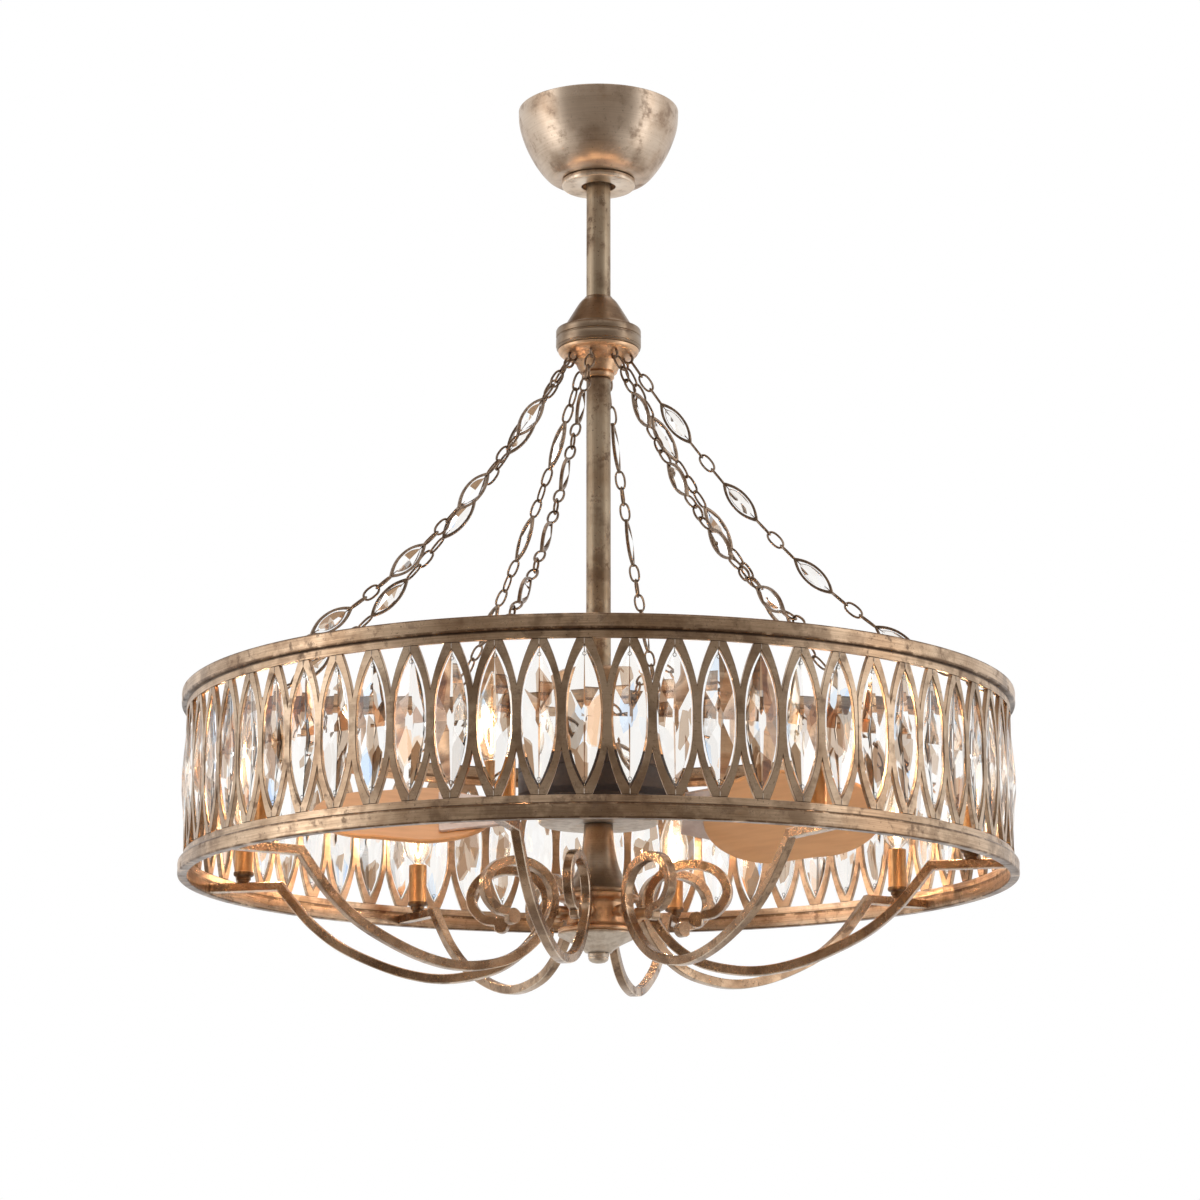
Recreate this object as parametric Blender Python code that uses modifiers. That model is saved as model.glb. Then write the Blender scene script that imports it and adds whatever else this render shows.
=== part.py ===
"""Chandelier ceiling fan: canopy, down rod, a crown of slack chains, a crystal drum, eight arms and a fan.

Metres, +Z up. The origin is on the ceiling, in the middle of the hanger bracket's top face, and the rest
hangs below it. Arm 1 points along -Y and the arms count round towards +X.
"""
import math

import bmesh
import bpy
from mathutils import Matrix, Vector

# Counts and facets
ARMS = 8
BLADES = 2
LATTICE_PANELS = 4
OVALS_PER_PANEL = 16
RING_SEGMENTS = 48
CANOPY_SEGMENTS = 32
ROUND_SEGMENTS = 24
SMALL_SEGMENTS = 10
EYE_SEGMENTS = 6
WIRE_SIDES = 4
MERGE_DISTANCE = 0.00002
UNIT = 1.0

# Fits between pieces
FACE_GAP = 0.0003
BALL_GAP = 0.0006
RUNNING_GAP = 0.002

# Hanger bracket and ball
PLATE_WIDTH = 0.036
PLATE_THICKNESS = 0.003
YOKE_LEG_THICKNESS = 0.003
YOKE_LEG_WIDTH = 0.026
YOKE_LEG_SINK = 0.002
BALL_RADIUS = 0.0215
BALL_DROP = 0.034
SEAT_WALL = 0.004
CUP_WALL = 0.0032
SEAT_HOLE_ANGLE = math.radians(44)
SEAT_TOP_ANGLE = math.radians(80)
CUP_TOP_ANGLE = math.radians(88)
SEAT_ARC_STEPS = 3
BALL_ARC_STEPS = 6
BALL_END_MARGIN = 0.0012

# Canopy
CANOPY_RADIUS = 0.0892
CANOPY_DROP = 0.0803
CANOPY_WALL = 0.0016
CANOPY_CEILING_GAP = 0.0005
CANOPY_SHARES = ((1.0, 0.0), (0.992, 0.205), (0.964, 0.31), (0.919, 0.46), (0.858, 0.61),
                 (0.785, 0.75), (0.695, 0.895), (0.605, 0.985), (0.56, 1.0))
CANOPY_INNER_SHARES = ((0.56, 0.975), (0.76, 0.72), (0.92, 0.4), (0.972, 0.08), (0.972, 0.0))
TRIM_RADIUS = 0.0405
TRIM_HEIGHT = 0.0075
TRIM_LIP = 0.002
ROD_HOLE_GAP = 0.0055

# Rods
ROD_RADIUS = 0.01335
ROD_WALL = 0.0027
ROD_TOP_STANDOUT = 0.004

# Hub on the rod
HUB_TOP_DROP = 0.2175
CONE_HEIGHT = 0.037
CONE_SHARES = ((0.325, 0.0), (0.43, 0.15), (0.62, 0.53), (0.78, 0.84), (0.95, 1.0))
DISC_RADIUS = 0.0468
DISC_HEIGHT = 0.0235
DISC_GROOVE_SHARES = (0.42, 0.52)
DISC_GROOVE_DEPTH = 0.0012
BOWL_HEIGHT = 0.026
BOWL_SHARES = ((0.95, 0.0), (0.9, 0.16), (0.62, 0.42), (0.5, 0.8), (0.44, 1.0))
COLLAR_RADIUS = 0.0172
COLLAR_HEIGHT = 0.007
EYE_RADIUS = 0.0042
EYE_WIRE_RADIUS = 0.0012
EYE_CENTRE_RADIUS = 0.0335
EYE_DROP_SHARE = 0.46

# Chains
CHAIN_SAG = 0.057
CHAIN_START_ANGLE = math.radians(45)
CHAIN_RING_DROP = 0.012
CHAIN_LINKS_BETWEEN = (3, 3, 3, 3, 5)
BEZEL_LENGTH = 0.058
BEZEL_WIDTH = 0.020
BEZEL_POINT_SHARES = ((0.22, 0.72), (0.5, 1.0), (0.78, 0.72))
LINK_WIDTH = 0.0125
LINK_THICKNESS = 0.0036
LINK_NECK_SHARE = 0.34
CHAIN_ROUTE_STEPS = 200

# Drum
RING_TOP_DROP = 0.671
RING_RADIUS = 0.445
RING_THICKNESS = 0.010
BAND_HEIGHT = 0.015
STRIP_HEIGHT = 0.008
STRIP_INSET = 0.0055
OPENING_HEIGHT = 0.1506
OVAL_INNER_SHARE = 0.8116
OVAL_OUTER_SHARE = 1.138
OVAL_POINT_SHARE = 0.91
OVAL_POWER = 2.6
OVAL_STEP_SHARES = (-0.74, -0.33, 0.33, 0.74)
OVAL_FOOT_SHARE = 0.35
CRYSTAL_HALF_WIDTH_SHARE = 0.86
CRYSTAL_HALF_DEPTH = 0.0065
CRYSTAL_BELT_SHARE = 0.36
CRYSTAL_PIN = 0.0035
CRYSTAL_SIDES = 4
CRYSTAL_LEVELS = 3

# Arms
BAR = 0.010
ARM_BOTTOM_RISE = 0.002
ARM_LEVEL_LENGTH = 0.080
ARM_DROP = 0.106
HUB_BAR_RADIUS = 0.056
ARM_SWEEP_SHARES = ((0.94, 0.21), (0.873, 0.415), (0.775, 0.63), (0.655, 0.80), (0.53, 0.93),
                    (0.41, 0.995), (0.30, 0.985), (0.18, 0.90), (0.085, 0.72), (0.02, 0.48),
                    (0.0, 0.25), (0.025, 0.06), (0.085, -0.055), (0.16, -0.085), (0.235, -0.02),
                    (0.275, 0.12), (0.275, 0.27), (0.235, 0.40), (0.19, 0.43))
ROLL_RADIUS = 0.0085
ROLL_STEPS = 7
ARM_END_GAP = 0.0006

# Candles and bulbs
CANDLE_LEVEL_SHARE = 0.475
CUP_FOOT_RADIUS = 0.0078
CUP_FOOT_HEIGHT = 0.007
CUP_RIM_RADIUS = 0.0112
CUP_RIM_HEIGHT = 0.0045
SLEEVE_RADIUS = 0.0103
SLEEVE_WALL = 0.0035
SLEEVE_HEIGHT = 0.043
SOCKET_DEPTH = 0.016
BULB_CAP_GAP = 0.0005
BULB_RADIUS = 0.0172
BULB_HEIGHT = 0.078
BULB_CAP_RISE = 0.003
BULB_SHARES = ((0.22, 0.9), (0.72, 0.62), (1.0, 0.34), (0.86, 0.15))

# Motor and fan
MOTOR_TOP_RISE = 0.031
COVER_NECK_RADIUS = 0.046
COVER_SHOULDER_RADIUS = 0.052
MOTOR_RADIUS = 0.086
COVER_HEIGHT = 0.0985
COVER_DROP_SHARES = (0.0, 0.03, 0.5, 0.86, 1.0)
COVER_WALL = 0.002
HOUSING_HEIGHT = 0.0475
HOUSING_STEP_HEIGHT = 0.010
HOUSING_STEP_INSET = 0.010
ROD_IN_COVER = 0.030
SHAFT_RADIUS = 0.0095
SHAFT_WALL = 0.0025
FLYWHEEL_RADIUS = 0.066
FLYWHEEL_THICKNESS = 0.008
TONGUE_LENGTH = 0.044
TONGUE_WIDTH = 0.040
TONGUE_THICKNESS = 0.004
TONGUE_SINK = 0.010
IRON_START_RADIUS = 0.090
IRON_END_RADIUS = 0.170
IRON_START_WIDTH = 0.044
IRON_END_WIDTH = 0.112
IRON_THICKNESS = 0.003
BLADE_TIP_RADIUS = 0.305
BLADE_ROOT_RADIUS = 0.112
BLADE_TIP_WIDTH = 0.132
BLADE_ROOT_WIDTH = 0.156
BLADE_THICKNESS = 0.005
BLADE_PITCH = math.radians(-30)
BLADE_CORNER_STEPS = 5
BLADE_FIRST_ANGLE = math.radians(106)
PLATE_RADIUS = 0.064
FITTER_HEIGHT = 0.007

# Bell, arm hub and finial
BELL_TOP_RADIUS = 0.0155
BELL_HEIGHT = 0.070
BELL_SHARES = ((0.0, 0.0), (0.05, 0.3), (0.2, 0.58), (0.5, 0.82), (0.9, 0.97))
BELL_RING_RADIUS = 0.0385
BELL_RING_HEIGHT = 0.006
BELL_WALL = 0.003
HUB_HEIGHT = 0.040
HUB_RADIUS = 0.043
HUB_WAIST_RADIUS = 0.034
HUB_FLANGE_SHARE = 0.16
STUD_RADIUS = 0.0065
STUD_ROOT_SHARE = 0.8
STUD_HEIGHT_SHARE = 0.5
FINIAL_BOWL_HEIGHT = 0.020
FINIAL_BOWL_SHARES = ((1.0, 0.0), (1.0, 0.08), (0.86, 0.24), (0.58, 0.58), (0.42, 0.84), (0.33, 1.0))
FINIAL_RADIUS = 0.0112
FINIAL_HEIGHT = 0.011
FINIAL_SHARES = ((1.0, 0.0), (1.0, 0.35), (0.7, 0.8), (0.0, 1.0))

# Places that follow from the sizes above
ROD_HOLE_RADIUS = ROD_RADIUS + ROD_HOLE_GAP
CANOPY_BOTTOM_Z = -CANOPY_CEILING_GAP - CANOPY_DROP
SEAT_INNER = BALL_RADIUS + BALL_GAP
SEAT_OUTER = SEAT_INNER + SEAT_WALL
CUP_INNER = SEAT_OUTER + BALL_GAP
CUP_OUTER = CUP_INNER + CUP_WALL
HUB_DISC_TOP_Z = -HUB_TOP_DROP - CONE_HEIGHT
HUB_DISC_BOTTOM_Z = HUB_DISC_TOP_Z - DISC_HEIGHT
COLLAR_BOTTOM_Z = HUB_DISC_BOTTOM_Z - BOWL_HEIGHT - COLLAR_HEIGHT
EYE_Z = HUB_DISC_BOTTOM_Z - BOWL_HEIGHT * EYE_DROP_SHARE
RING_TOP_Z = -RING_TOP_DROP
OPENING_TOP_Z = RING_TOP_Z - BAND_HEIGHT - STRIP_HEIGHT
OPENING_BOTTOM_Z = OPENING_TOP_Z - OPENING_HEIGHT
DRUM_BOTTOM_Z = OPENING_BOTTOM_Z - STRIP_HEIGHT - BAND_HEIGHT
RING_INNER_RADIUS = RING_RADIUS - RING_THICKNESS
LATTICE_OUTER_RADIUS = RING_RADIUS - STRIP_INSET
LATTICE_MIDDLE_RADIUS = (LATTICE_OUTER_RADIUS + RING_INNER_RADIUS) / 2
LATTICE_THICKNESS = LATTICE_OUTER_RADIUS - RING_INNER_RADIUS
OVALS = LATTICE_PANELS * OVALS_PER_PANEL
OVAL_PITCH = math.tau * LATTICE_MIDDLE_RADIUS / OVALS
OVAL_INNER_HALF_WIDTH = OVAL_PITCH / 2 * OVAL_INNER_SHARE
OVAL_OUTER_HALF_WIDTH = OVAL_PITCH / 2 * OVAL_OUTER_SHARE
OVAL_FOOT_HALF_WIDTH = OVAL_PITCH / 2 * OVAL_FOOT_SHARE
ARM_BEND_RADIUS = RING_INNER_RADIUS - ARM_LEVEL_LENGTH
CANDLE_RADIUS = RING_INNER_RADIUS - ARM_LEVEL_LENGTH * CANDLE_LEVEL_SHARE
ARM_TOP_Z = DRUM_BOTTOM_Z + ARM_BOTTOM_RISE + BAR
ARM_MIDDLE_Z = ARM_TOP_Z - BAR / 2
MOTOR_TOP_Z = RING_TOP_Z + MOTOR_TOP_RISE
HOUSING_TOP_Z = MOTOR_TOP_Z - COVER_HEIGHT - FACE_GAP
HOUSING_BOTTOM_Z = HOUSING_TOP_Z - HOUSING_HEIGHT
FLYWHEEL_TOP_Z = HOUSING_BOTTOM_Z - RUNNING_GAP
FLYWHEEL_BOTTOM_Z = FLYWHEEL_TOP_Z - FLYWHEEL_THICKNESS
FITTER_TOP_Z = FLYWHEEL_BOTTOM_Z - RUNNING_GAP
FITTER_BOTTOM_Z = FITTER_TOP_Z - FITTER_HEIGHT
BELL_TOP_Z = FITTER_BOTTOM_Z - FACE_GAP
BELL_BOTTOM_Z = BELL_TOP_Z - BELL_HEIGHT - BELL_RING_HEIGHT
HUB_TOP_Z = BELL_BOTTOM_Z - FACE_GAP
HUB_BOTTOM_Z = HUB_TOP_Z - HUB_HEIGHT
FINIAL_BOWL_TOP_Z = HUB_BOTTOM_Z - FACE_GAP
FINIAL_TOP_Z = FINIAL_BOWL_TOP_Z - FINIAL_BOWL_HEIGHT - FACE_GAP
SHAFT_BORE = SHAFT_RADIUS + FACE_GAP
CANOPY_WALL_RADIUS = CANOPY_RADIUS * CANOPY_INNER_SHARES[-1][0]
PLATE_CORNER_RADIUS = CANOPY_WALL_RADIUS * math.cos(math.pi / CANOPY_SEGMENTS) - FACE_GAP
PLATE_LENGTH = 2 * math.sqrt(PLATE_CORNER_RADIUS ** 2 - (PLATE_WIDTH / 2) ** 2)

COLLECTION_NAME = "chandelier_ceiling_fan"
CUTTER_COLLECTION_NAME = "cutters"

# Finishes: colour, roughness, metallic
FINISHES = {
    "antique_leaf": ((0.42, 0.33, 0.23), 0.45, 0.85),
    "bronze_chain": ((0.16, 0.12, 0.09), 0.5, 0.8),
    "clear_crystal": ((0.9, 0.93, 0.95), 0.05, 0.0),
    "dark_motor": ((0.05, 0.035, 0.03), 0.45, 0.5),
    "pale_champagne": ((0.62, 0.57, 0.47), 0.5, 0.7),
    "tan_blade": ((0.55, 0.36, 0.2), 0.5, 0.1),
    "zinc_steel": ((0.6, 0.6, 0.6), 0.4, 0.9),
    "black_rubber": ((0.03, 0.03, 0.03), 0.8, 0.0),
}


def clear_scene():
    """Remove every object of the open file."""
    for thing in list(bpy.data.objects):
        bpy.data.objects.remove(thing, do_unlink=True)


def make_collection(name):
    """A collection linked to the scene."""
    collection = bpy.data.collections.new(name)
    bpy.context.scene.collection.children.link(collection)
    return collection


def make_material(name, finish):
    """A Principled material of its own for one sub-part."""
    colour, roughness, metallic = FINISHES[finish]
    material = bpy.data.materials.new(name)
    material.use_nodes = True
    shader = material.node_tree.nodes["Principled BSDF"]
    shader.inputs["Base Color"].default_value = (*colour, 1.0)
    shader.inputs["Roughness"].default_value = roughness
    shader.inputs["Metallic"].default_value = metallic
    return material


def add_piece(name, mesh, finish, matrix=None):
    """Link a mesh as a named sub-part with its own material."""
    piece = bpy.data.objects.new(name, mesh)
    piece.data.materials.clear()
    piece.data.materials.append(make_material(name, finish))
    if matrix is not None:
        piece.matrix_world = matrix
    bpy.data.collections[COLLECTION_NAME].objects.link(piece)
    return piece


def add_cutter(name, mesh):
    """Link a mesh as a helper solid that the render leaves out."""
    cutter = bpy.data.objects.new(name, mesh)
    cutter.hide_render = True
    cutter.display_type = 'WIRE'
    bpy.data.collections[CUTTER_COLLECTION_NAME].objects.link(cutter)
    return cutter


def combine(piece, other, operation):
    """Join to or cut from a piece with an exact Boolean."""
    modifier = piece.modifiers.new(operation.lower(), 'BOOLEAN')
    modifier.operation = operation
    modifier.solver = 'EXACT'
    modifier.object = other


def profile_mesh(name, profile, closed):
    """Edges through radius and height pairs, at +X."""
    last = len(profile) if closed else len(profile) - 1
    edges = [(index, (index + 1) % len(profile)) for index in range(last)]
    mesh = bpy.data.meshes.new(name)
    mesh.from_pydata([(radius, 0.0, height) for radius, height in profile], edges, [])
    return mesh


def spin(piece, segments):
    """Turn a profile round Z with a Screw modifier."""
    modifier = piece.modifiers.new("turn", 'SCREW')
    modifier.axis = 'Z'
    modifier.angle = math.tau
    modifier.steps = segments
    modifier.render_steps = segments
    modifier.use_merge_vertices = True
    modifier.merge_threshold = MERGE_DISTANCE
    modifier.use_smooth_shade = True


def turned(name, profile, finish, closed=False, segments=ROUND_SEGMENTS, matrix=None):
    """A turned piece; the profile runs down its outer side."""
    piece = add_piece(name, profile_mesh(name, profile, closed), finish, matrix)
    spin(piece, segments)
    return piece


def turned_cutter(name, profile, closed=False, segments=ROUND_SEGMENTS):
    """A turned helper solid."""
    cutter = add_cutter(name, profile_mesh(name, profile, closed))
    spin(cutter, segments)
    return cutter


def arc_points(radius, centre_z, start, end, steps):
    """Points on a circle in the profile plane, with angles measured from straight down."""
    points = []
    for index in range(steps + 1):
        angle = start + (end - start) * index / steps
        points.append((radius * math.sin(angle), centre_z - radius * math.cos(angle)))
    return points


def box_mesh(name, size, centre):
    """A closed box from a cube."""
    shape = bmesh.new()
    matrix = Matrix.Translation(Vector(centre)) @ Matrix.Diagonal((*size, UNIT))
    bmesh.ops.create_cube(shape, size=UNIT, matrix=matrix)
    mesh = bpy.data.meshes.new(name)
    shape.to_mesh(mesh)
    shape.free()
    return mesh


def plate_mesh(name, outlines, thickness):
    """A flat plate in XY from closed outlines, holes among them, with its thickness along Z."""
    curve = bpy.data.curves.new(name, 'CURVE')
    curve.dimensions = '2D'
    curve.fill_mode = 'BOTH'
    curve.extrude = thickness / 2
    for outline in outlines:
        spline = curve.splines.new('POLY')
        spline.points.add(len(outline) - 1)
        for point, (along, across) in zip(spline.points, outline):
            point.co = (along, across, 0.0, 1.0)
        spline.use_cyclic_u = True
    return curve_to_mesh(name, curve)


def curve_to_mesh(name, curve):
    """A closed mesh from a curve, with its loose caps welded on."""
    guide = bpy.data.objects.new(name + "_curve", curve)
    bpy.context.scene.collection.objects.link(guide)
    evaluated = guide.evaluated_get(bpy.context.evaluated_depsgraph_get())
    mesh = bpy.data.meshes.new_from_object(evaluated)
    bpy.data.objects.remove(guide, do_unlink=True)
    shape = bmesh.new()
    shape.from_mesh(mesh)
    bmesh.ops.remove_doubles(shape, verts=shape.verts, dist=MERGE_DISTANCE)
    bmesh.ops.recalc_face_normals(shape, faces=shape.faces)
    shape.to_mesh(mesh)
    shape.free()
    mesh.name = name
    return mesh


def around(angle):
    """Turn a piece built along +X to an azimuth counted from -Y towards +X."""
    return Matrix.Rotation(angle - math.pi / 2, 4, 'Z')


def stand_up(mesh):
    """Turn a plate from the XY plane into the XZ plane."""
    mesh.transform(Matrix.Rotation(math.pi / 2, 4, 'X'))


def build_bracket():
    """Cross bar against the ceiling, with a yoke and the cup that holds the ball seat."""
    centre = (0.0, 0.0, -PLATE_THICKNESS / 2)
    plate_size = (PLATE_LENGTH, PLATE_WIDTH, PLATE_THICKNESS)
    plate = add_piece("hanger_bracket", box_mesh("hanger_bracket", plate_size, centre), "zinc_steel")
    leg_height = BALL_DROP - PLATE_THICKNESS + YOKE_LEG_SINK
    leg_z = -PLATE_THICKNESS + YOKE_LEG_SINK / 2 - leg_height / 2
    for side in (-1, 1):
        leg_x = side * (CUP_OUTER - YOKE_LEG_THICKNESS / 2)
        size = (YOKE_LEG_THICKNESS, YOKE_LEG_WIDTH, leg_height)
        combine(plate, add_cutter("yoke_leg", box_mesh("yoke_leg", size, (leg_x, 0.0, leg_z))), 'UNION')
    outer = arc_points(CUP_OUTER, -BALL_DROP, CUP_TOP_ANGLE, SEAT_HOLE_ANGLE, SEAT_ARC_STEPS)
    inner = arc_points(CUP_INNER, -BALL_DROP, SEAT_HOLE_ANGLE, CUP_TOP_ANGLE, SEAT_ARC_STEPS)
    combine(plate, turned_cutter("yoke_cup", outer + inner, closed=True), 'UNION')


def build_ball():
    """Ball seat and hanger ball, each round the same centre."""
    outer = arc_points(SEAT_OUTER, -BALL_DROP, SEAT_TOP_ANGLE, SEAT_HOLE_ANGLE, SEAT_ARC_STEPS)
    inner = arc_points(SEAT_INNER, -BALL_DROP, SEAT_HOLE_ANGLE, SEAT_TOP_ANGLE, SEAT_ARC_STEPS)
    turned("ball_seat", outer + inner, "black_rubber", closed=True)
    bore = ROD_RADIUS + FACE_GAP
    end_angle = math.asin((bore + BALL_END_MARGIN) / BALL_RADIUS)
    arc = arc_points(BALL_RADIUS, -BALL_DROP, math.pi - end_angle, end_angle, BALL_ARC_STEPS)
    top, bottom = arc[0][1], arc[-1][1]
    turned("hanger_ball", arc + [(bore, bottom), (bore, top)], "zinc_steel", closed=True)


def build_canopy():
    """Domed canopy shell and the trim ring below it."""
    outer = share_profile(CANOPY_SHARES, CANOPY_RADIUS, -CANOPY_CEILING_GAP, CANOPY_DROP)
    outer += [(TRIM_RADIUS, CANOPY_BOTTOM_Z), (ROD_HOLE_RADIUS, CANOPY_BOTTOM_Z)]
    inner_floor = CANOPY_BOTTOM_Z + CANOPY_WALL
    inner = [(ROD_HOLE_RADIUS, inner_floor), (TRIM_RADIUS, inner_floor)]
    inner += share_profile(CANOPY_INNER_SHARES, CANOPY_RADIUS, -CANOPY_CEILING_GAP, CANOPY_DROP)
    turned("canopy", outer + inner, "antique_leaf", closed=True, segments=CANOPY_SEGMENTS)
    top = CANOPY_BOTTOM_Z - FACE_GAP
    trim = [(TRIM_RADIUS - TRIM_LIP, top), (TRIM_RADIUS, top - TRIM_LIP),
            (TRIM_RADIUS - TRIM_LIP, top - TRIM_HEIGHT), (ROD_HOLE_RADIUS, top - TRIM_HEIGHT),
            (ROD_HOLE_RADIUS, top)]
    turned("canopy_ring", trim, "antique_leaf", closed=True)


def share_profile(shares, radius, top, drop):
    """Radius and height pairs from shares of a radius and of a drop below a top."""
    return [(radius * wide, top - drop * down) for wide, down in shares]


def tube_profile(outer, inner, top, bottom):
    """The section of a straight tube."""
    return [(outer, top), (outer, bottom), (inner, bottom), (inner, top)]


def build_rods():
    """Down rods above and below the hub."""
    inner = ROD_RADIUS - ROD_WALL
    top = -BALL_DROP + math.sqrt(BALL_RADIUS ** 2 - ROD_RADIUS ** 2) + ROD_TOP_STANDOUT
    upper = tube_profile(ROD_RADIUS, inner, top, HUB_DISC_BOTTOM_Z + FACE_GAP)
    turned("upper_rod", upper, "antique_leaf", closed=True)
    lower = tube_profile(ROD_RADIUS, inner, COLLAR_BOTTOM_Z - FACE_GAP, MOTOR_TOP_Z - ROD_IN_COVER)
    turned("lower_rod", lower, "antique_leaf", closed=True)


def build_hub_cap():
    """Cone and grooved disc that slide over the upper rod."""
    bore = ROD_RADIUS + FACE_GAP
    groove_top, groove_bottom = (HUB_DISC_TOP_Z - DISC_HEIGHT * share for share in DISC_GROOVE_SHARES)
    bottom = HUB_DISC_BOTTOM_Z + FACE_GAP
    profile = share_profile(CONE_SHARES, DISC_RADIUS, -HUB_TOP_DROP, CONE_HEIGHT)
    profile += [(DISC_RADIUS, HUB_DISC_TOP_Z - DISC_GROOVE_DEPTH),
                (DISC_RADIUS, groove_top),
                (DISC_RADIUS - DISC_GROOVE_DEPTH, (groove_top + groove_bottom) / 2),
                (DISC_RADIUS, groove_bottom),
                (DISC_RADIUS, bottom + DISC_GROOVE_DEPTH),
                (DISC_RADIUS - DISC_GROOVE_DEPTH, bottom),
                (bore, bottom), (bore, -HUB_TOP_DROP)]
    turned("hub_cap", profile, "antique_leaf", closed=True)


def build_chain_hub():
    """Bowl with an eye for each chain and the collar of the lower rod."""
    profile = share_profile(BOWL_SHARES, DISC_RADIUS, HUB_DISC_BOTTOM_Z, BOWL_HEIGHT)
    profile += [(COLLAR_RADIUS, COLLAR_BOTTOM_Z + COLLAR_HEIGHT), (COLLAR_RADIUS, COLLAR_BOTTOM_Z),
                (ROD_RADIUS - ROD_WALL, COLLAR_BOTTOM_Z), (ROD_RADIUS - ROD_WALL, HUB_DISC_BOTTOM_Z)]
    hub = turned("chain_hub", profile, "antique_leaf", closed=True)
    eyes = bmesh.new()
    for index in range(ARMS):
        bpy.ops.mesh.primitive_torus_add(major_segments=EYE_SEGMENTS, minor_segments=WIRE_SIDES,
                                         major_radius=EYE_RADIUS, minor_radius=EYE_WIRE_RADIUS)
        ring = bpy.context.object
        upright = Matrix.Rotation(math.pi / 2, 4, 'X')
        place = Matrix.Translation((EYE_CENTRE_RADIUS, 0.0, EYE_Z))
        ring.data.transform(around(math.tau * index / ARMS) @ place @ upright)
        eyes.from_mesh(ring.data)
        bpy.data.objects.remove(ring, do_unlink=True)
    mesh = bpy.data.meshes.new("eyes")
    eyes.to_mesh(mesh)
    eyes.free()
    combine(hub, add_cutter("eyes", mesh), 'UNION')


def chain_route():
    """The slack run from an eye to the top ring, in radius and height, as a parabola."""
    clear = EYE_RADIUS + EYE_WIRE_RADIUS + FACE_GAP
    start = Vector((EYE_CENTRE_RADIUS + clear * math.cos(CHAIN_START_ANGLE),
                    EYE_Z - clear * math.sin(CHAIN_START_ANGLE)))
    end = Vector((RING_INNER_RADIUS - FACE_GAP - LINK_THICKNESS / 4, RING_TOP_Z - CHAIN_RING_DROP))
    route = []
    for step in range(CHAIN_ROUTE_STEPS + 1):
        t = step / CHAIN_ROUTE_STEPS
        point = start.lerp(end, t)
        point.y -= 4 * CHAIN_SAG * t * (1 - t)
        route.append(point)
    return route


def route_lengths(route):
    """The distance along a route at each of its points."""
    lengths = [0.0]
    for start, end in zip(route, route[1:]):
        lengths.append(lengths[-1] + (end - start).length)
    return lengths


def route_point(route, lengths, distance):
    """The place at a distance along a route."""
    for index in range(1, len(route)):
        if lengths[index] >= distance or index == len(route) - 1:
            share = (distance - lengths[index - 1]) / (lengths[index] - lengths[index - 1])
            return route[index - 1].lerp(route[index], min(share, 1.0))
    return route[-1]


def chain_stations(total):
    """Distance, half width and face turn at each point of one chain, links between four bezels."""
    bezels = len(CHAIN_LINKS_BETWEEN) - 1
    pitch = (total - bezels * BEZEL_LENGTH) / sum(CHAIN_LINKS_BETWEEN)
    neck = LINK_WIDTH * LINK_NECK_SHARE
    stations = [(0.0, neck, 0.0)]
    distance = 0.0
    for group, links in enumerate(CHAIN_LINKS_BETWEEN):
        for link in range(links):
            turn = math.pi / 2 if link % 2 else 0.0
            stations.append((distance + pitch / 2, LINK_WIDTH, turn))
            distance += pitch
            stations.append((distance, neck, math.pi / 4))
        if group < bezels:
            for along, wide in BEZEL_POINT_SHARES:
                stations.append((distance + BEZEL_LENGTH * along, BEZEL_WIDTH * wide, math.pi / 2))
            distance += BEZEL_LENGTH
            stations.append((distance, neck, math.pi / 4))
    return stations


def chain_mesh():
    """One chain as a flat wire that widens at each link and bezel and turns from link to link."""
    route = chain_route()
    lengths = route_lengths(route)
    section = bpy.data.curves.new("link_section", 'CURVE')
    section.dimensions = '2D'
    outline = section.splines.new('POLY')
    outline.points.add(WIRE_SIDES - 1)
    corners = ((-1, -1), (1, -1), (1, 1), (-1, 1))
    for point, (side, rise) in zip(outline.points, corners):
        point.co = (side / 2, rise * LINK_THICKNESS / LINK_WIDTH / 2, 0.0, 1.0)
    outline.use_cyclic_u = True
    guide = bpy.data.objects.new("link_section", section)
    bpy.context.scene.collection.objects.link(guide)
    curve = bpy.data.curves.new("chain", 'CURVE')
    curve.dimensions = '3D'
    curve.twist_mode = 'Z_UP'
    curve.bevel_mode = 'OBJECT'
    curve.bevel_object = guide
    curve.use_fill_caps = True
    spline = curve.splines.new('POLY')
    stations = chain_stations(lengths[-1])
    spline.points.add(len(stations) - 1)
    for point, (distance, width, turn) in zip(spline.points, stations):
        place = route_point(route, lengths, distance)
        point.co = (place.x, 0.0, place.y, 1.0)
        point.radius = width
        point.tilt = turn
    mesh = curve_to_mesh("chain", curve)
    bpy.data.objects.remove(guide, do_unlink=True)
    return mesh


def build_chains():
    """A chain over each arm."""
    mesh = chain_mesh()
    for index in range(ARMS):
        add_piece(f"chain_{index + 1}", mesh.copy(), "bronze_chain", around(math.tau * index / ARMS))


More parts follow.
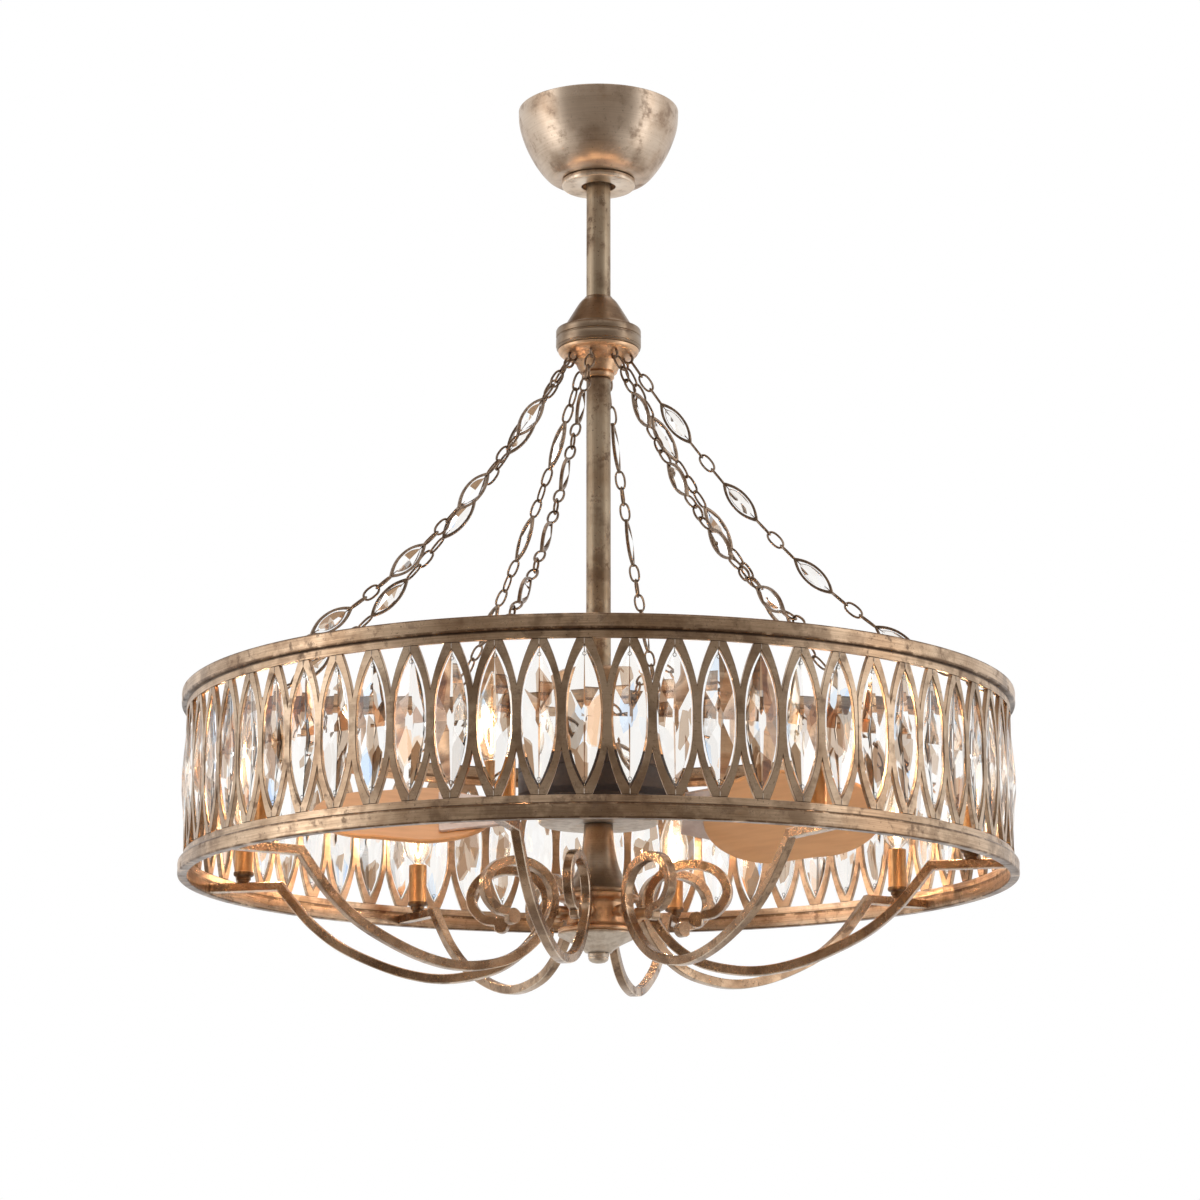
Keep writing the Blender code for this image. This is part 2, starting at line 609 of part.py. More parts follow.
def build_rings():
    """Top and bottom rings: a band outside, a taller strip inside it."""
    strip_radius = RING_RADIUS - STRIP_INSET
    band_bottom = RING_TOP_Z - BAND_HEIGHT
    top = [(RING_RADIUS, RING_TOP_Z), (RING_RADIUS, band_bottom), (strip_radius, band_bottom),
           (strip_radius, OPENING_TOP_Z), (RING_INNER_RADIUS, OPENING_TOP_Z), (RING_INNER_RADIUS, RING_TOP_Z)]
    turned("top_ring", top, "antique_leaf", closed=True, segments=RING_SEGMENTS)
    band_top = DRUM_BOTTOM_Z + BAND_HEIGHT
    bottom = [(strip_radius, OPENING_BOTTOM_Z), (strip_radius, band_top), (RING_RADIUS, band_top),
              (RING_RADIUS, DRUM_BOTTOM_Z), (RING_INNER_RADIUS, DRUM_BOTTOM_Z),
              (RING_INNER_RADIUS, OPENING_BOTTOM_Z)]
    turned("bottom_ring", bottom, "antique_leaf", closed=True, segments=RING_SEGMENTS)


def oval_centres():
    """Where the ovals of a panel lie along it."""
    return [(index - (OVALS_PER_PANEL - 1) / 2) * OVAL_PITCH for index in range(OVALS_PER_PANEL)]


def oval_hole(centre):
    """The pointed opening of one oval, as a closed outline."""
    half_height = OPENING_HEIGHT / 2 * OVAL_POINT_SHARE
    right = []
    for share in OVAL_STEP_SHARES:
        half_width = OVAL_INNER_HALF_WIDTH * (1 - abs(share) ** OVAL_POWER)
        right.append((half_width, half_height * share))
    left = [(-across, height) for across, height in reversed(right)]
    outline = [(0.0, -half_height), *right, (0.0, half_height), *left]
    return [(centre + across, height) for across, height in outline]


def panel_outline():
    """The outside of one lattice panel: feet on the rings with notches between neighbouring ovals."""
    half_height = OPENING_HEIGHT / 2 - FACE_GAP
    fall = (OVAL_OUTER_HALF_WIDTH - OVAL_FOOT_HALF_WIDTH) / half_height ** 2
    notch = math.sqrt((OVAL_OUTER_HALF_WIDTH - OVAL_PITCH / 2) / fall)
    edge = OVAL_PITCH / 2 - FACE_GAP / 2
    centres = oval_centres()
    bottom = [(centres[0] - edge, -notch)]
    top = [(centres[0] - edge, notch)]
    for centre in centres:
        for side in (-1, 1):
            bottom.append((centre + side * OVAL_FOOT_HALF_WIDTH, -half_height))
            top.append((centre + side * OVAL_FOOT_HALF_WIDTH, half_height))
        end = centre + (edge if centre == centres[-1] else OVAL_PITCH / 2)
        bottom.append((end, -notch))
        top.append((end, notch))
    return bottom + top[::-1]


def wrap_on_drum(mesh):
    """Bend a flat panel round the drum: X becomes the way round, Y the height and Z the way out."""
    middle_z = (OPENING_TOP_Z + OPENING_BOTTOM_Z) / 2
    for vertex in mesh.vertices:
        along, height, out = vertex.co
        angle = along / LATTICE_MIDDLE_RADIUS
        radius = LATTICE_MIDDLE_RADIUS + out
        vertex.co = (radius * math.sin(angle), -radius * math.cos(angle), middle_z + height)


def crystals_mesh():
    """The crystals of one panel, each a long stone with its tips in the points of its oval."""
    half_height = OPENING_HEIGHT / 2 * OVAL_POINT_SHARE
    half_width = OVAL_INNER_HALF_WIDTH * CRYSTAL_HALF_WIDTH_SHARE
    stones = bmesh.new()
    tip = half_height + CRYSTAL_PIN
    for centre in oval_centres():
        made = bmesh.ops.create_uvsphere(stones, u_segments=CRYSTAL_SIDES, v_segments=CRYSTAL_LEVELS,
                                         radius=UNIT)
        for vertex in made["verts"]:
            reach = math.hypot(vertex.co.x, vertex.co.y)
            at_tip = reach < MERGE_DISTANCE
            rise = math.copysign(tip if at_tip else half_height * CRYSTAL_BELT_SHARE, vertex.co.z)
            spread = 0.0 if at_tip else 1 / reach
            vertex.co = (centre + vertex.co.x * spread * half_width, rise,
                         -vertex.co.y * spread * CRYSTAL_HALF_DEPTH)
    mesh = bpy.data.meshes.new("stones")
    stones.to_mesh(mesh)
    stones.free()
    return mesh


def build_lattice():
    """Quarter panels of ovals with their crystals, between the rings."""
    holes = [oval_hole(centre) for centre in oval_centres()]
    frame = plate_mesh("panel", [panel_outline(), *holes], LATTICE_THICKNESS)
    wrap_on_drum(frame)
    stones = crystals_mesh()
    wrap_on_drum(stones)
    half_pitch = math.pi / OVALS
    for index in range(LATTICE_PANELS):
        turn = Matrix.Rotation(math.tau * index / LATTICE_PANELS + half_pitch, 4, 'Z')
        panel = add_piece(f"lattice_{index + 1}", frame.copy(), "antique_leaf", turn)
        cutter = add_cutter(f"stones_{index + 1}", stones)
        cutter.matrix_world = turn
        combine(panel, cutter, 'UNION')


def arm_centre_line():
    """Middle line of one arm in radius and height: level part, bend, sweep and scroll."""
    start = Vector((RING_INNER_RADIUS - ARM_END_GAP, ARM_MIDDLE_Z))
    bend = Vector((ARM_BEND_RADIUS, ARM_MIDDLE_Z))
    span = ARM_BEND_RADIUS - HUB_BAR_RADIUS
    sweep = share_profile(ARM_SWEEP_SHARES, span, ARM_MIDDLE_Z, ARM_DROP)
    return [start, bend, *(Vector((HUB_BAR_RADIUS + out, height)) for out, height in sweep)]


def offset_line(path, distance):
    """A line beside a path, mitred at its corners."""
    side = []
    for index, point in enumerate(path):
        before = (point - path[index - 1]).normalized() if index else None
        after = (path[index + 1] - point).normalized() if index < len(path) - 1 else None
        before = before or after
        after = after or before
        middle = (before + after).normalized()
        normal = Vector((-middle.y, middle.x))
        side.append(point + normal * distance / middle.dot(after))
    return side


def arm_outline():
    """Outline of an arm as a flat bar, closed by the round roll at the scroll's end."""
    path = arm_centre_line()
    left = offset_line(path, BAR / 2)
    right = offset_line(path, -BAR / 2)
    heading = (path[-1] - path[-2]).normalized()
    side = Vector((-heading.y, heading.x))
    half_gap = math.asin(BAR / 2 / ROLL_RADIUS)
    centre = path[-1] + side * (ROLL_RADIUS - BAR / 2) + heading * ROLL_RADIUS * math.cos(half_gap)
    roll = []
    for index in range(1, ROLL_STEPS):
        angle = half_gap + (math.tau - 2 * half_gap) * index / ROLL_STEPS
        roll.append(centre - heading * ROLL_RADIUS * math.cos(angle) + side * ROLL_RADIUS * math.sin(angle))
    return [tuple(point) for point in left + roll + right[::-1]]


def arm_face_radius(height):
    """How far out the hub side of an arm's sweep lies at a height."""
    face = offset_line(arm_centre_line(), BAR / 2)
    crossings = []
    for start, end in zip(face, face[1:]):
        if min(start.y, end.y) <= height < max(start.y, end.y):
            crossings.append(start.lerp(end, (height - start.y) / (end.y - start.y)).x)
    return min(crossings)


def build_arms():
    """Square-bar arms from the bottom ring to the hub."""
    mesh = plate_mesh("arm", [arm_outline()], BAR)
    stand_up(mesh)
    for index in range(ARMS):
        add_piece(f"arm_{index + 1}", mesh.copy(), "antique_leaf", around(math.tau * index / ARMS))


def build_candles():
    """Cup with sleeve on each arm, and the bulb in it."""
    foot = ARM_TOP_Z + FACE_GAP
    rim_bottom = foot + CUP_FOOT_HEIGHT
    rim_top = rim_bottom + CUP_RIM_HEIGHT
    top = rim_top + SLEEVE_HEIGHT
    socket = SLEEVE_RADIUS - SLEEVE_WALL
    floor = top - SOCKET_DEPTH
    candle = [(0.0, floor), (socket, floor), (socket, top), (SLEEVE_RADIUS, top), (SLEEVE_RADIUS, rim_top),
              (CUP_RIM_RADIUS, rim_bottom), (CUP_FOOT_RADIUS, rim_bottom), (CUP_FOOT_RADIUS, foot),
              (0.0, foot)]
    cap = socket - BULB_CAP_GAP
    bulb_base = top + BULB_CAP_RISE
    bulb = [(0.0, bulb_base + BULB_HEIGHT)]
    bulb += [(BULB_RADIUS * wide, bulb_base + BULB_HEIGHT * up) for wide, up in BULB_SHARES]
    bulb += [(cap, bulb_base), (cap, floor + FACE_GAP), (0.0, floor + FACE_GAP)]
    for index in range(ARMS):
        place = around(math.tau * index / ARMS) @ Matrix.Translation((CANDLE_RADIUS, 0.0, 0.0))
        turned(f"candle_{index + 1}", candle, "antique_leaf", segments=SMALL_SEGMENTS, matrix=place)
        turned(f"bulb_{index + 1}", bulb, "clear_crystal", segments=SMALL_SEGMENTS, matrix=place)


def build_motor():
    """Cover, housing, hollow fixed shaft and the fitter plate below."""
    radii = (COVER_NECK_RADIUS, COVER_SHOULDER_RADIUS, COVER_SHOULDER_RADIUS, MOTOR_RADIUS, MOTOR_RADIUS)
    bore = ROD_RADIUS + FACE_GAP
    outer = [(radius, MOTOR_TOP_Z - COVER_HEIGHT * down) for radius, down in zip(radii, COVER_DROP_SHARES)]
    inner = [(radius - COVER_WALL, height - COVER_WALL) for radius, height in outer[:-1]]
    inner[0] = (bore, MOTOR_TOP_Z - COVER_WALL)
    bottom = MOTOR_TOP_Z - COVER_HEIGHT
    wall = [(MOTOR_RADIUS - COVER_WALL, bottom), *inner[:0:-1]]
    profile = outer + wall + [inner[0], (bore, MOTOR_TOP_Z)]
    turned("motor_cover", profile, "antique_leaf", closed=True)
    step_radius = MOTOR_RADIUS - HOUSING_STEP_INSET
    step_z = HOUSING_BOTTOM_Z + HOUSING_STEP_HEIGHT
    housing = [(MOTOR_RADIUS, HOUSING_TOP_Z), (MOTOR_RADIUS, step_z),
               (step_radius, step_z - HOUSING_STEP_INSET / 2), (step_radius, HOUSING_BOTTOM_Z),
               (SHAFT_BORE, HOUSING_BOTTOM_Z), (SHAFT_BORE, HOUSING_TOP_Z)]
    turned("motor_housing", housing, "dark_motor", closed=True)
    shaft_top = MOTOR_TOP_Z - ROD_IN_COVER - FACE_GAP
    shaft = tube_profile(SHAFT_RADIUS, SHAFT_RADIUS - SHAFT_WALL, shaft_top, FINIAL_TOP_Z + FACE_GAP)
    turned("motor_shaft", shaft, "zinc_steel", closed=True)
    plate = tube_profile(PLATE_RADIUS, SHAFT_BORE, FITTER_TOP_Z, FITTER_BOTTOM_Z)
    turned("fitter_plate", plate, "pale_champagne", closed=True)


def blade_matrix(index):
    """Where the blade and its iron sit: pitched about their own length, then turned round the axis."""
    pitch = Matrix.Rotation(BLADE_PITCH, 4, 'X')
    height = Matrix.Translation((0.0, 0.0, (FLYWHEEL_TOP_Z + FLYWHEEL_BOTTOM_Z) / 2))
    return around(BLADE_FIRST_ANGLE + math.tau * index / BLADES) @ height @ pitch


def build_flywheel():
    """Turning plate with a flat tongue and a pitched, widening blade iron for each blade."""
    profile = tube_profile(FLYWHEEL_RADIUS, SHAFT_BORE, FLYWHEEL_TOP_Z, FLYWHEEL_BOTTOM_Z)
    wheel = turned("flywheel", profile, "dark_motor", closed=True)
    middle = (FLYWHEEL_TOP_Z + FLYWHEEL_BOTTOM_Z) / 2
    tongue_centre = (FLYWHEEL_RADIUS - TONGUE_SINK + TONGUE_LENGTH / 2, 0.0, middle)
    iron_outline = [(IRON_START_RADIUS, -IRON_START_WIDTH / 2), (IRON_END_RADIUS, -IRON_END_WIDTH / 2),
                    (IRON_END_RADIUS, IRON_END_WIDTH / 2), (IRON_START_RADIUS, IRON_START_WIDTH / 2)]
    for index in range(BLADES):
        tongue_mesh = box_mesh("tongue", (TONGUE_LENGTH, TONGUE_WIDTH, TONGUE_THICKNESS), tongue_centre)
        tongue = add_cutter(f"tongue_{index + 1}", tongue_mesh)
        tongue.matrix_world = around(BLADE_FIRST_ANGLE + math.tau * index / BLADES)
        combine(wheel, tongue, 'UNION')
        iron = add_cutter(f"iron_{index + 1}", plate_mesh("iron", [iron_outline], IRON_THICKNESS))
        iron.matrix_world = blade_matrix(index)
        combine(wheel, iron, 'UNION')


def blade_outline():
    """A paddle with fully rounded corners, wider at the tip."""
    outline = []
    root_corner = BLADE_ROOT_WIDTH / 2
    tip_corner = BLADE_TIP_WIDTH / 2
    corners = ((BLADE_TIP_RADIUS - tip_corner, tip_corner, -math.pi / 2),
               (BLADE_ROOT_RADIUS + root_corner, root_corner, math.pi / 2))
    for middle, corner, start in corners:
        for step in range(2 * BLADE_CORNER_STEPS + 1):
            angle = start + math.pi * step / (2 * BLADE_CORNER_STEPS)
            outline.append((middle + corner * math.cos(angle), corner * math.sin(angle)))
    return outline


def build_blades():
    """Paddle blades under their brackets, which turn round the axis."""
    mesh = plate_mesh("blade", [blade_outline()], BLADE_THICKNESS)
    drop = Matrix.Translation((0.0, 0.0, -(IRON_THICKNESS + BLADE_THICKNESS) / 2 - FACE_GAP))
    for index in range(BLADES):
        add_piece(f"blade_{index + 1}", mesh.copy(), "tan_blade", blade_matrix(index) @ drop)


def build_bell():
    """Trumpet between the fitter plate and the arm hub, with a ring at its foot."""
    flare = BELL_RING_RADIUS - BELL_TOP_RADIUS
    outer = [(BELL_TOP_RADIUS + out, height)
             for out, height in share_profile(BELL_SHARES, flare, BELL_TOP_Z, BELL_HEIGHT)]
    ring_top = BELL_TOP_Z - BELL_HEIGHT
    outer += [(BELL_RING_RADIUS, ring_top), (BELL_RING_RADIUS, BELL_BOTTOM_Z)]
    inner = [(SHAFT_BORE, BELL_BOTTOM_Z), (SHAFT_BORE, BELL_TOP_Z)]
    turned("center_bell", outer + inner, "antique_leaf", closed=True)


def build_arm_hub():
    """Waisted barrel with a round stud towards each arm."""
    flange = HUB_HEIGHT * HUB_FLANGE_SHARE
    profile = [(HUB_RADIUS, HUB_TOP_Z), (HUB_RADIUS, HUB_TOP_Z - flange / 2),
               (HUB_WAIST_RADIUS, HUB_TOP_Z - flange), (HUB_WAIST_RADIUS, HUB_BOTTOM_Z + flange),
               (HUB_RADIUS, HUB_BOTTOM_Z + flange / 2), (HUB_RADIUS, HUB_BOTTOM_Z),
               (SHAFT_BORE, HUB_BOTTOM_Z), (SHAFT_BORE, HUB_TOP_Z)]
    hub = turned("arm_hub", profile, "antique_leaf", closed=True)
    root = HUB_WAIST_RADIUS * STUD_ROOT_SHARE
    height = HUB_TOP_Z - HUB_HEIGHT * STUD_HEIGHT_SHARE
    end = arm_face_radius(height + STUD_RADIUS) - FACE_GAP
    studs = bmesh.new()
    for index in range(ARMS):
        place = Matrix.Translation(((root + end) / 2, 0.0, height)) @ Matrix.Rotation(math.pi / 2, 4, 'Y')
        bmesh.ops.create_cone(studs, cap_ends=True, segments=EYE_SEGMENTS, radius1=STUD_RADIUS,
                              radius2=STUD_RADIUS, depth=end - root,
                              matrix=around(math.tau * index / ARMS) @ place)
    mesh = bpy.data.meshes.new("studs")
    studs.to_mesh(mesh)
    studs.free()
    combine(hub, add_cutter("studs", mesh), 'UNION')


def build_finial():
    """Shallow bowl and round knob that close the bottom."""
    bowl = share_profile(FINIAL_BOWL_SHARES, HUB_RADIUS, FINIAL_BOWL_TOP_Z, FINIAL_BOWL_HEIGHT)
    bottom = FINIAL_BOWL_TOP_Z - FINIAL_BOWL_HEIGHT
    bowl += [(SHAFT_BORE, bottom), (SHAFT_BORE, FINIAL_BOWL_TOP_Z)]
    turned("finial_bowl", bowl, "pale_champagne", closed=True)
    knob = [(0.0, FINIAL_TOP_Z)]
    knob += share_profile(FINIAL_SHARES, FINIAL_RADIUS, FINIAL_TOP_Z, FINIAL_HEIGHT)
    turned("finial", knob, "pale_champagne", segments=SMALL_SEGMENTS)


def main():
    """Build every piece."""
    clear_scene()
    make_collection(COLLECTION_NAME)
    make_collection(CUTTER_COLLECTION_NAME)
    build_bracket()
    build_ball()
    build_canopy()
    build_rods()
    build_hub_cap()
    build_chain_hub()
    build_chains()
    build_rings()
    build_lattice()
    build_arms()
    build_candles()
    build_motor()
    build_flywheel()
    build_blades()
    build_bell()
    build_arm_hub()
    build_finial()


main()
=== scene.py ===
"""Visual model of a chandelier ceiling fan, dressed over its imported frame.

Lengths are in metres, +Z is up, the origin is on the ceiling and arm 1 points along -Y.
"""
import logging
import math
from dataclasses import dataclass
from enum import Enum
from typing import Callable, Optional, Sequence, Union

import bpy
from mathutils import Matrix, Vector


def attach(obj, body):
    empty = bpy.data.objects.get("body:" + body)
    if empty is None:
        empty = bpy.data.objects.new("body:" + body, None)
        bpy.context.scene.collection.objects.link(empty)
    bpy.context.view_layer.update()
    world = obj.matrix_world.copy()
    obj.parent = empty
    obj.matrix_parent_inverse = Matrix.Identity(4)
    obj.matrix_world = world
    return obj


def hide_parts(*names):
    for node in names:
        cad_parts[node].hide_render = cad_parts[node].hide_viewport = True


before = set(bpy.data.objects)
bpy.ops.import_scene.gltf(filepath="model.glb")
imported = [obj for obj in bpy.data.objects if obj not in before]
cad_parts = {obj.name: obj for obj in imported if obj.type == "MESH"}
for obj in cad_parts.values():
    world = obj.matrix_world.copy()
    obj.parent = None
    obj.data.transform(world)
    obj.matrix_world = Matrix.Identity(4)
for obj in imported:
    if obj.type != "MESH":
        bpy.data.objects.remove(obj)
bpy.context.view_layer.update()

LOG = logging.getLogger("chandelier_fan")

Pair = tuple[float, float]
Colour = tuple[float, float, float]
Value = Union[float, Colour, "Sock"]
Piece = bpy.types.Object
Material = bpy.types.Material

ARMS = 8
OVALS = 64
PANELS = 4
MILLIMETRE = 0.001
GAP = 0.0003
EDGE = 0.0003
POLE_RADIUS = 1e-6
WELD = 1e-5
SMOOTH_ANGLE = math.radians(32)
WIRE_SMOOTH_ANGLE = math.radians(60)
FLAT_ANGLE = math.radians(0.4)
QUARTER_TURN = math.pi / 2


class Body(Enum):
    """The bodies that pieces ride on."""

    MOUNT = "mount"
    FIXTURE = "fixture"
    ROTOR = "rotor"


class Slot(Enum):
    """The record's material slots that the pieces use."""

    STEEL = "zinc_steel"
    LEAF = "antique_leaf"
    CHAIN = "bronze_chain"
    BULB = "clear_bulb"
    MOTOR = "dark_motor"
    PALE = "pale_champagne"
    BLADE = "tan_blade"


class Grain(Enum):
    """How a brushed finish runs: scale factors of its streaks along X, Y and Z."""

    ROUND = (14.0, 14.0, 620.0)
    UPRIGHT = (520.0, 520.0, 9.0)
    MATT = (60.0, 60.0, 60.0)


class Sock:
    """A value in a node tree, on which Python arithmetic adds Math nodes."""

    def __init__(self, paint: "Paint", link: bpy.types.NodeSocket) -> None:
        """Wrap an output socket.

        Args:
            paint: the node tree that the socket is in.
            link: the output socket.
        """
        self.paint = paint
        self.link = link

    def maths(self, operation: str, *values: Value) -> "Sock":
        """Run a Math node.

        Args:
            operation: the node's operation.
            values: its inputs in order.

        Returns:
            The node's result.
        """
        node = self.paint.node("ShaderNodeMath", {"operation": operation}, dict(enumerate(values)))
        return Sock(self.paint, node.outputs[0])

    def __add__(self, other: Value) -> "Sock":
        """This value plus another."""
        return self.maths("ADD", self, other)

    def __sub__(self, other: Value) -> "Sock":
        """This value less another."""
        return self.maths("SUBTRACT", self, other)

    def __rsub__(self, other: Value) -> "Sock":
        """Another value less this one."""
        return self.maths("SUBTRACT", other, self)

    def __mul__(self, other: Value) -> "Sock":
        """This value times another."""
        return self.maths("MULTIPLY", self, other)

    __radd__ = __add__
    __rmul__ = __mul__

    def over(self, low: float, high: float) -> "Sock":
        """Stretch the part between two levels to 0 and 1, clamped.

        Args:
            low: the level that becomes 0.
            high: the level that becomes 1.

        Returns:
            The stretched value.
        """
        settings = {"clamp": True, "interpolation_type": "SMOOTHSTEP"}
        node = self.paint.node("ShaderNodeMapRange", settings, {0: self, 1: low, 2: high})
        return Sock(self.paint, node.outputs[0])


class Paint:
    """The node tree of one material, with its Principled shader."""

    def __init__(self, name: str) -> None:
        """Make the material.

        Args:
            name: the material's name.
        """
        self.material = bpy.data.materials.new(name)
        self.material.use_nodes = True
        self.tree = self.material.node_tree
        self.shader = self.tree.nodes["Principled BSDF"]
        place = self.node("ShaderNodeTexCoord", {}, {})
        self.place = Sock(self, place.outputs["Object"])

    def node(self, kind: str, settings: dict, values: dict) -> bpy.types.Node:
        """Add a node.

        Args:
            kind: the node's type.
            settings: its properties; the stops of a ramp go under "stops".
            values: a value or a Sock for each of its input sockets, by name or number.

        Returns:
            The node.
        """
        node = self.tree.nodes.new(kind)
        for key, setting in settings.items():
            if key == "stops":
                while len(node.color_ramp.elements) < len(setting):
                    node.color_ramp.elements.new(1.0)
                for element, (position, colour) in zip(node.color_ramp.elements, setting):
                    element.position = position
                    element.color = (*colour, 1.0)
            else:
                setattr(node, key, setting)
        for key, value in values.items():
            self.feed(node.inputs[key], value)
        return node

    def feed(self, socket: bpy.types.NodeSocket, value: Value) -> None:
        """Set or link an input socket."""
        if isinstance(value, Sock):
            self.tree.links.new(value.link, socket)
        elif isinstance(value, tuple) and socket.type == 'RGBA':
            socket.default_value = (*value, 1.0)
        else:
            socket.default_value = value

    def stretched(self, scale: Colour) -> Sock:
        """Object coordinates, scaled along X, Y and Z."""
        node = self.node("ShaderNodeMapping", {}, {"Vector": self.place, "Scale": scale})
        return Sock(self, node.outputs[0])

    def noise(self, scale: float, detail: float = 3.0, rough: float = 0.6,
              place: Optional[Sock] = None) -> Sock:
        """Cloudy noise.

        Args:
            scale: cells per metre.
            detail: octaves.
            rough: how strong the small octaves are.
            place: its coordinates, or the object's.

        Returns:
            The noise, about 0.5.
        """
        values = {"Vector": place or self.place, "Scale": scale, "Detail": detail, "Roughness": rough}
        return Sock(self, self.node("ShaderNodeTexNoise", {}, values).outputs["Fac"])

    def cells(self, scale: float, place: Sock) -> Sock:
        """Straight-edged cells, each of one value.

        Args:
            scale: cells per metre.
            place: their coordinates.

        Returns:
            The value of the cell, about 0.5.
        """
        node = self.node("ShaderNodeTexVoronoi", {}, {"Vector": place, "Scale": scale})
        return Sock(self, node.outputs["Color"])

    def blend(self, share: Value, first: Value, second: Value) -> Sock:
        """Mix two colours.

        Args:
            share: how much of the second.
            first: a colour.
            second: another colour.

        Returns:
            The mix.
        """
        node = self.node("ShaderNodeMix", {"data_type": "RGBA"}, {0: share, 6: first, 7: second})
        return Sock(self, node.outputs[2])

    def ramp(self, value: Sock, stops: Sequence[tuple[float, Colour]]) -> Sock:
        """A colour ramp."""
        node = self.node("ShaderNodeValToRGB", {"stops": stops}, {"Fac": value})
        return Sock(self, node.outputs["Color"])

    def height(self) -> Sock:
        """The height of a point, in metres."""
        return Sock(self, self.node("ShaderNodeSeparateXYZ", {}, {0: self.place}).outputs["Z"])

    def bump(self, height: Value, strength: float, depth: float) -> None:
        """Raise the surface.

        Args:
            height: the relief from 0 to 1.
            strength: how much of it shows.
            depth: how deep it is.
        """
        values = {"Height": height, "Strength": strength, "Distance": depth}
        node = self.node("ShaderNodeBump", {}, values)
        self.tree.links.new(node.outputs["Normal"], self.shader.inputs["Normal"])

    def set(self, **values: Value) -> None:
        """Set sockets of the shader, with _ for a space in their names."""
        for key, value in values.items():
            self.feed(self.shader.inputs[key.replace("_", " ")], value)


@dataclass(frozen=True)
class LeafFinish:
    """Antique silver and gold leaf, brushed through to brown in places; near-black lines at the crease
    heights are painted shade.
    """

    name: str
    leaf: Colour
    warm: Colour
    brown: Colour = (0.13, 0.075, 0.042)
    dark: Colour = (0.045, 0.028, 0.02)
    grain: Grain = Grain.ROUND
    roughness: float = 0.36
    wear: float = 1.0
    streaks: float = 1.0
    shine: float = 0.3
    edges: tuple = ()
    creases: tuple = ()

    def lines(self, paint: Paint, heights: Sequence[Pair], breaks: Sock) -> Sock:
        """A mask of level lines, broken up by noise.

        Args:
            paint: the node tree.
            heights: the height and the width of each line.
            breaks: the noise.

        Returns:
            The mask.
        """
        level = paint.height()
        mask = None
        for middle, width in heights:
            away = level.maths("ABSOLUTE", level - middle)
            line = (1.0 - away.over(width * 0.3, width)) * breaks
            mask = line if mask is None else mask.maths("MAXIMUM", mask, line)
        return mask

    def material(self) -> Material:
        """Build the material."""
        paint = Paint(self.name)
        streak = paint.noise(1.0, 4.0, 0.7, paint.stretched(self.grain.value))
        cloud = paint.noise(13.0, 5.0, 0.62)
        worn = paint.noise(55.0, 7.0, 0.72)
        patch = paint.noise(27.0, 4.0, 0.6)
        scuff = worn.over(0.53, 0.64) * self.wear
        speck = paint.noise(420.0, 2.0, 0.5).over(0.66, 0.74) * self.wear
        colour = paint.blend(cloud.over(0.38, 0.68), self.leaf, self.warm)
        colour = paint.blend(patch.over(0.48, 0.62) * (0.5 * self.wear), colour, self.brown)
        colour = paint.blend(streak.over(0.35, 0.75) * (0.34 * self.streaks), colour, self.brown)
        colour = paint.blend(scuff * 0.62, colour, self.brown)
        colour = paint.blend(speck * 0.6, colour, self.dark)
        if self.edges:
            bare = self.lines(paint, self.edges, worn.over(0.34, 0.52)) * 0.92
            colour = paint.blend(bare, colour, self.brown)
        # Painted shade: near-black lines at these heights stand in for the shadow in the step between a
        # ring's band and its strip.
        if self.creases:
            crease_shade = self.lines(paint, self.creases, cloud.over(-0.6, 0.4)) * 0.7
            colour = paint.blend(crease_shade, colour, self.dark)
        paint.set(Base_Color=colour, Metallic=0.96 - scuff * 0.3, Anisotropic=self.shine,
                  Roughness=self.roughness + (streak - 0.5) * (0.2 * self.streaks) + scuff * 0.2)
        relief = streak * (0.5 * self.streaks) + worn * 0.5 - speck * 0.4
        paint.bump(relief, 0.3, 0.0003)
        return paint.material


@dataclass(frozen=True)
class PlainMetal:
    """A satin metal or paint with a little cloud and grain in it."""

    name: str
    colour: Colour
    shade: Colour
    roughness: float = 0.4
    metallic: float = 1.0
    scale: float = 90.0
    relief: float = 0.15

    def material(self) -> Material:
        """Build the material."""
        paint = Paint(self.name)
        cloud = paint.noise(self.scale, 5.0, 0.65)
        fine = paint.noise(self.scale * 9, 2.0, 0.5)
        roughness = self.roughness + (cloud - 0.5) * 0.22 + (fine - 0.5) * 0.1
        paint.set(Base_Color=paint.blend(cloud.over(0.35, 0.7), self.colour, self.shade), Roughness=roughness,
                  Metallic=self.metallic)
        paint.bump(cloud * 0.5 + fine * 0.5, self.relief, 0.0002)
        return paint.material


@dataclass(frozen=True)
class CrystalFinish:
    """Clear cut glass whose colour carries painted reflections: patches of brown, blue and orange stand for
    the glints and rainbow flecks of facets that are not modelled.
    """

    name: str
    ior: float = 1.57
    painted_glints: tuple = ((0.0, (0.30, 0.17, 0.09)), (0.18, (0.42, 0.27, 0.17)), (0.19, (0.50, 0.68, 1.0)),
                    (0.225, (0.70, 0.84, 1.0)), (0.235, (1.0, 0.99, 0.97)), (0.72, (1.0, 0.97, 0.93)),
                    (0.73, (0.36, 0.22, 0.13)), (0.80, (0.48, 0.31, 0.20)), (0.81, (1.0, 0.46, 0.20)),
                    (0.835, (1.0, 0.72, 0.50)), (0.845, (1.0, 1.0, 1.0)))

    def material(self) -> Material:
        """Build the material."""
        paint = Paint(self.name)
        patch = paint.cells(80.0, paint.stretched((1.0, 1.0, 0.36)))
        haze = paint.noise(300.0, 2.0, 0.5)
        # Painted reflections: the ramp of brown, white, blue and orange cells stands in for facet glints and
        # dispersion, in a random pattern that does not follow the facets.
        paint.set(Base_Color=paint.ramp(patch, self.painted_glints), Roughness=haze.over(0.6, 0.9) * 0.03,
                  IOR=self.ior, Transmission_Weight=1.0)
        return paint.material


